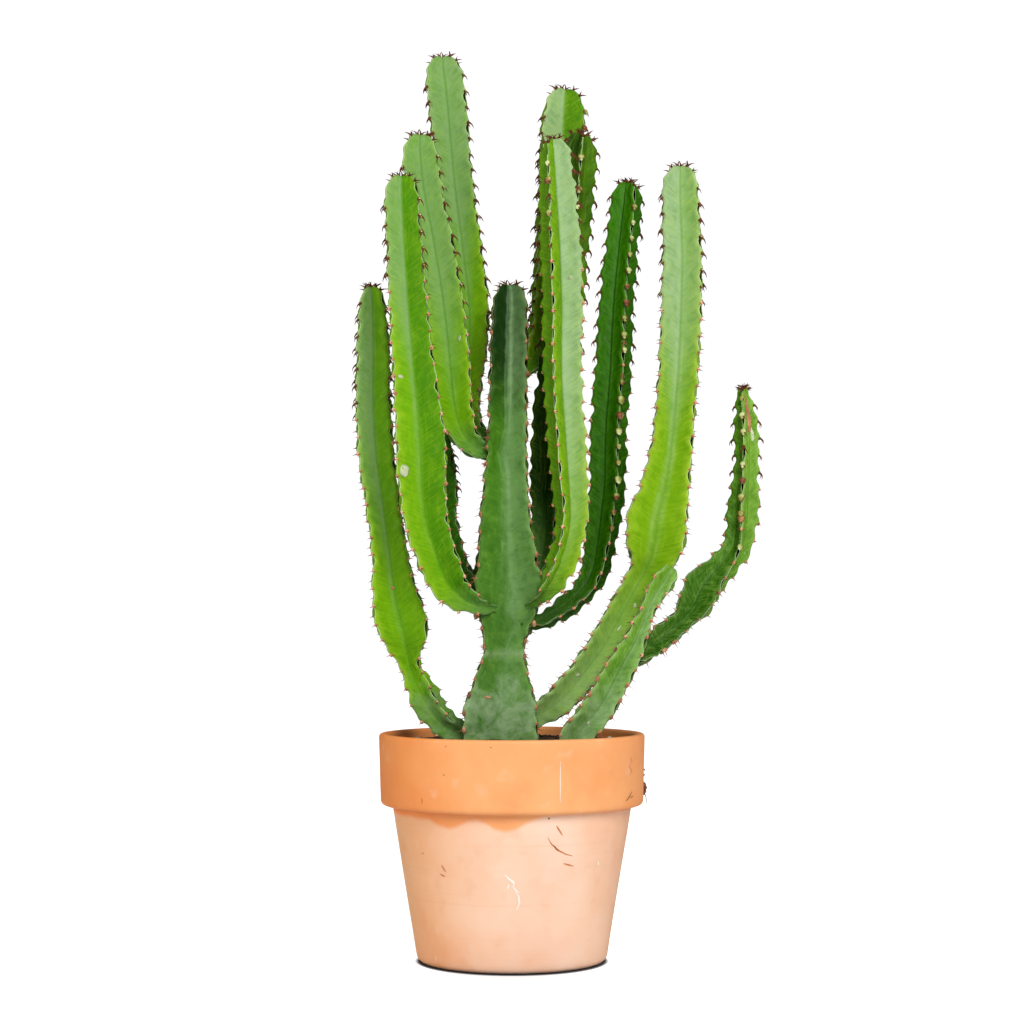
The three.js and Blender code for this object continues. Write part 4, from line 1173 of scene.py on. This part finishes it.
def potCrumbs(bm, slot):
    before = set(bm.faces)
    for degrees, height, size in earthCrumbs:
        crumb = bmesh.ops.create_icosphere(bm, subdivisions=2, radius=size)["verts"]
        azimuth = math.radians(degrees)
        radius = potRadiusAt(height) + size * 0.3
        for vert in crumb:
            vert.co += 0.3 * size * noise.noise_vector(vert.co * 0.9 + Vector((height, 0, 0)))
        place = (radius * math.sin(azimuth), -radius * math.cos(azimuth), height)
        bmesh.ops.translate(bm, vec=place, verts=crumb)
    root = bmesh.new()
    addSpine(root, 19, 0.55, 2.6, 0.9, 0, steps=8)
    bmesh.ops.translate(root, vec=(potRadiusAt(152) - 0.2, -2, 152), verts=root.verts)
    mesh = bpy.data.meshes.new("root hair")
    root.to_mesh(mesh)
    root.free()
    bm.from_mesh(mesh)
    bpy.data.meshes.remove(mesh)
    paintNew(bm, before, slot)


potPaint = bmesh.new()
finishes = list(markFinishes)
for kind, width, path in potMarks:
    potSmear(potPaint, width, path, finishes.index(kind))
potCrumbs(potPaint, finishes.index("dirt"))
bmesh.ops.recalc_face_normals(potPaint, faces=potPaint.faces)
finishPiece("pot_body", potBody(), [terracotta()], "pot")
smears = [smearFinish(kind, code) for kind, code in markFinishes.items()]
finishPiece("pot_smears", potPaint, smears)
print("pot")

soil = {
    "top": 195, "edge": 110.4, "moundFoot": 80, "moundSlope": 25, "moundEdge": 0.4, "rise": 3, "play": 0.6,
    "bits": 420, "bitsReach": 108, "sides": 160, "rings": 42,
    "lumps": ((1.6, 0.11), (1.1, 0.4)), "lift": 0.4,  # height of the lumps, and how often to the mm
}
pebbles = [  # distance from the pot's axis, turn from the right in degrees, size
    (96, 127, 4), (84, 118, 5), (77, 112, 4), (96, 52, 5), (88, 78, 3.5), (60, 100, 4), (92, 160, 4),
    (90, 200, 5), (95, 235, 4), (70, 255, 4.5), (98, 275, 4), (85, 305, 5), (96, 335, 4), (100, 10, 4.5),
    (102, 28, 3.5)]


def soilTopAt(distance):
    foot, edge, low = soil["moundFoot"], soil["edge"], soil["moundEdge"]
    if distance > foot:
        return soil["top"] + low * (edge - distance) / (edge - foot)
    return soil["top"] + low + (soil["rise"] - low) * min(1, (foot - distance) / soil["moundSlope"])


def soilBody():
    inner = pot["rimRadius"] - pot["wall"] - pot["innerTaper"] - soil["play"]
    foot = pot["footRadius"] - pot["wall"] - soil["play"]
    neck = pot["neckRadius"] - pot["wall"] - soil["play"]
    low = pot["floorThickness"] + soil["play"]
    points = [Vector((0, low)), Vector((foot, low)), Vector((neck, pot["collarBottom"] - pot["innerStep"])),
              Vector((inner, pot["collarBottom"] + pot["innerStep"])), Vector((inner, soilTopAt(inner)))]
    inwards = [inner * (1 - k / soil["rings"]) for k in range(1, soil["rings"] + 1)]
    points += [Vector((distance, soilTopAt(distance))) for distance in inwards]
    bm = turned(points, soil["sides"], closed=False)
    for vert in bm.verts:
        if vert.co.z > soil["top"] - 1:
            lumps = sum(rise * noise.noise(vert.co * scale) for rise, scale in soil["lumps"])
            vert.co.z += lumps + soil["lift"]
    return bm


def soilBits(draw):
    bm = bmesh.new()
    for number in range(soil["bits"]):
        distance = soil["bitsReach"] * math.sqrt(draw.random())
        angle = draw.uniform(0, 2 * math.pi)
        place = Vector((distance * math.cos(angle), distance * math.sin(angle), soilTopAt(distance) + 0.8))
        if not isFree(place, None, -4):
            continue
        bit = bmesh.ops.create_icosphere(bm, subdivisions=1, radius=draw.uniform(0.9, 2.6))["verts"]
        bmesh.ops.scale(bm, vec=(1, draw.uniform(0.5, 1), draw.uniform(0.35, 0.7)), verts=bit)
        for vert in bit:
            vert.co += 0.35 * noise.noise_vector(vert.co + Vector((number * 3.1, 0, 0)))
        bmesh.ops.rotate(bm, cent=(0, 0, 0), matrix=Matrix.Rotation(draw.uniform(0, 6.28), 3, "Z"), verts=bit)
        bmesh.ops.translate(bm, vec=place, verts=bit)
    return bm


def pebbleStones(draw):
    bm = bmesh.new()
    for distance, turn, size in pebbles:
        angle = math.radians(turn)
        stone = bmesh.ops.create_icosphere(bm, subdivisions=3, radius=size)["verts"]
        bmesh.ops.scale(bm, vec=(1, 0.8, 0.7), verts=stone)
        shift = Vector((turn, 0, 0))
        for vert in stone:
            vert.co *= 1 + 0.22 * noise.noise(vert.co * 0.35 + shift)
        bmesh.ops.rotate(bm, cent=(0, 0, 0), matrix=Matrix.Rotation(angle * 3, 3, "Z"), verts=stone)
        place = (distance * math.cos(angle), distance * math.sin(angle), soil["top"] + 1)
        bmesh.ops.translate(bm, vec=place, verts=stone)
    return bm


# Potting mix: dark moist peat with lighter bark fibres
def pottingMix(name, dark, light):
    material, tree = startMaterial(name)
    place = addNode(tree, "TexCoord", out="Object")
    crumbs = addNode(tree, "TexNoise", {"Vector": place, "Scale": 320.0, "Detail": 6.0, "Roughness": 0.7})
    colour = addNode(tree, "ValToRGB", {0: crumbs}, stops=[(0.35, dark), (0.6, light), (0.72, "#8a6a4c")])
    bump = addNode(tree, "Bump", {"Height": crumbs, "Strength": 0.9, "Distance": 0.002})
    endMaterial(tree, {"Base Color": colour, "Roughness": 0.95}, bump)
    return material


# Pale water-worn stone, dusted with peat
def paleStone():
    material, tree = startMaterial("pale pebble")
    place = addNode(tree, "TexCoord", out="Object")
    clouds = addNode(tree, "TexNoise", {"Vector": place, "Scale": 180.0, "Detail": 4.0})
    colour = addNode(tree, "ValToRGB", {0: clouds}, stops=[
        (0.3, "#a08a74"), (0.55, "#d8ccbb"), (0.75, "#ece6dc")])
    bump = addNode(tree, "Bump", {"Height": clouds, "Strength": 0.3, "Distance": 0.0005})
    endMaterial(tree, {"Base Color": colour, "Roughness": 0.7}, bump)
    return material


moistMix = pottingMix("moist potting mix", "#2a1b12", "#4a3422")
crumbMix = pottingMix("peat and bark crumbs", "#3a2618", "#5e4430")
finishPiece("soil_fill", soilBody(), [moistMix], "soil")
finishPiece("soil_crumbs", soilBits(random.Random(5)), [crumbMix])
finishPiece("soil_pebbles", pebbleStones(random.Random(6)), [paleStone()])
print("soil")
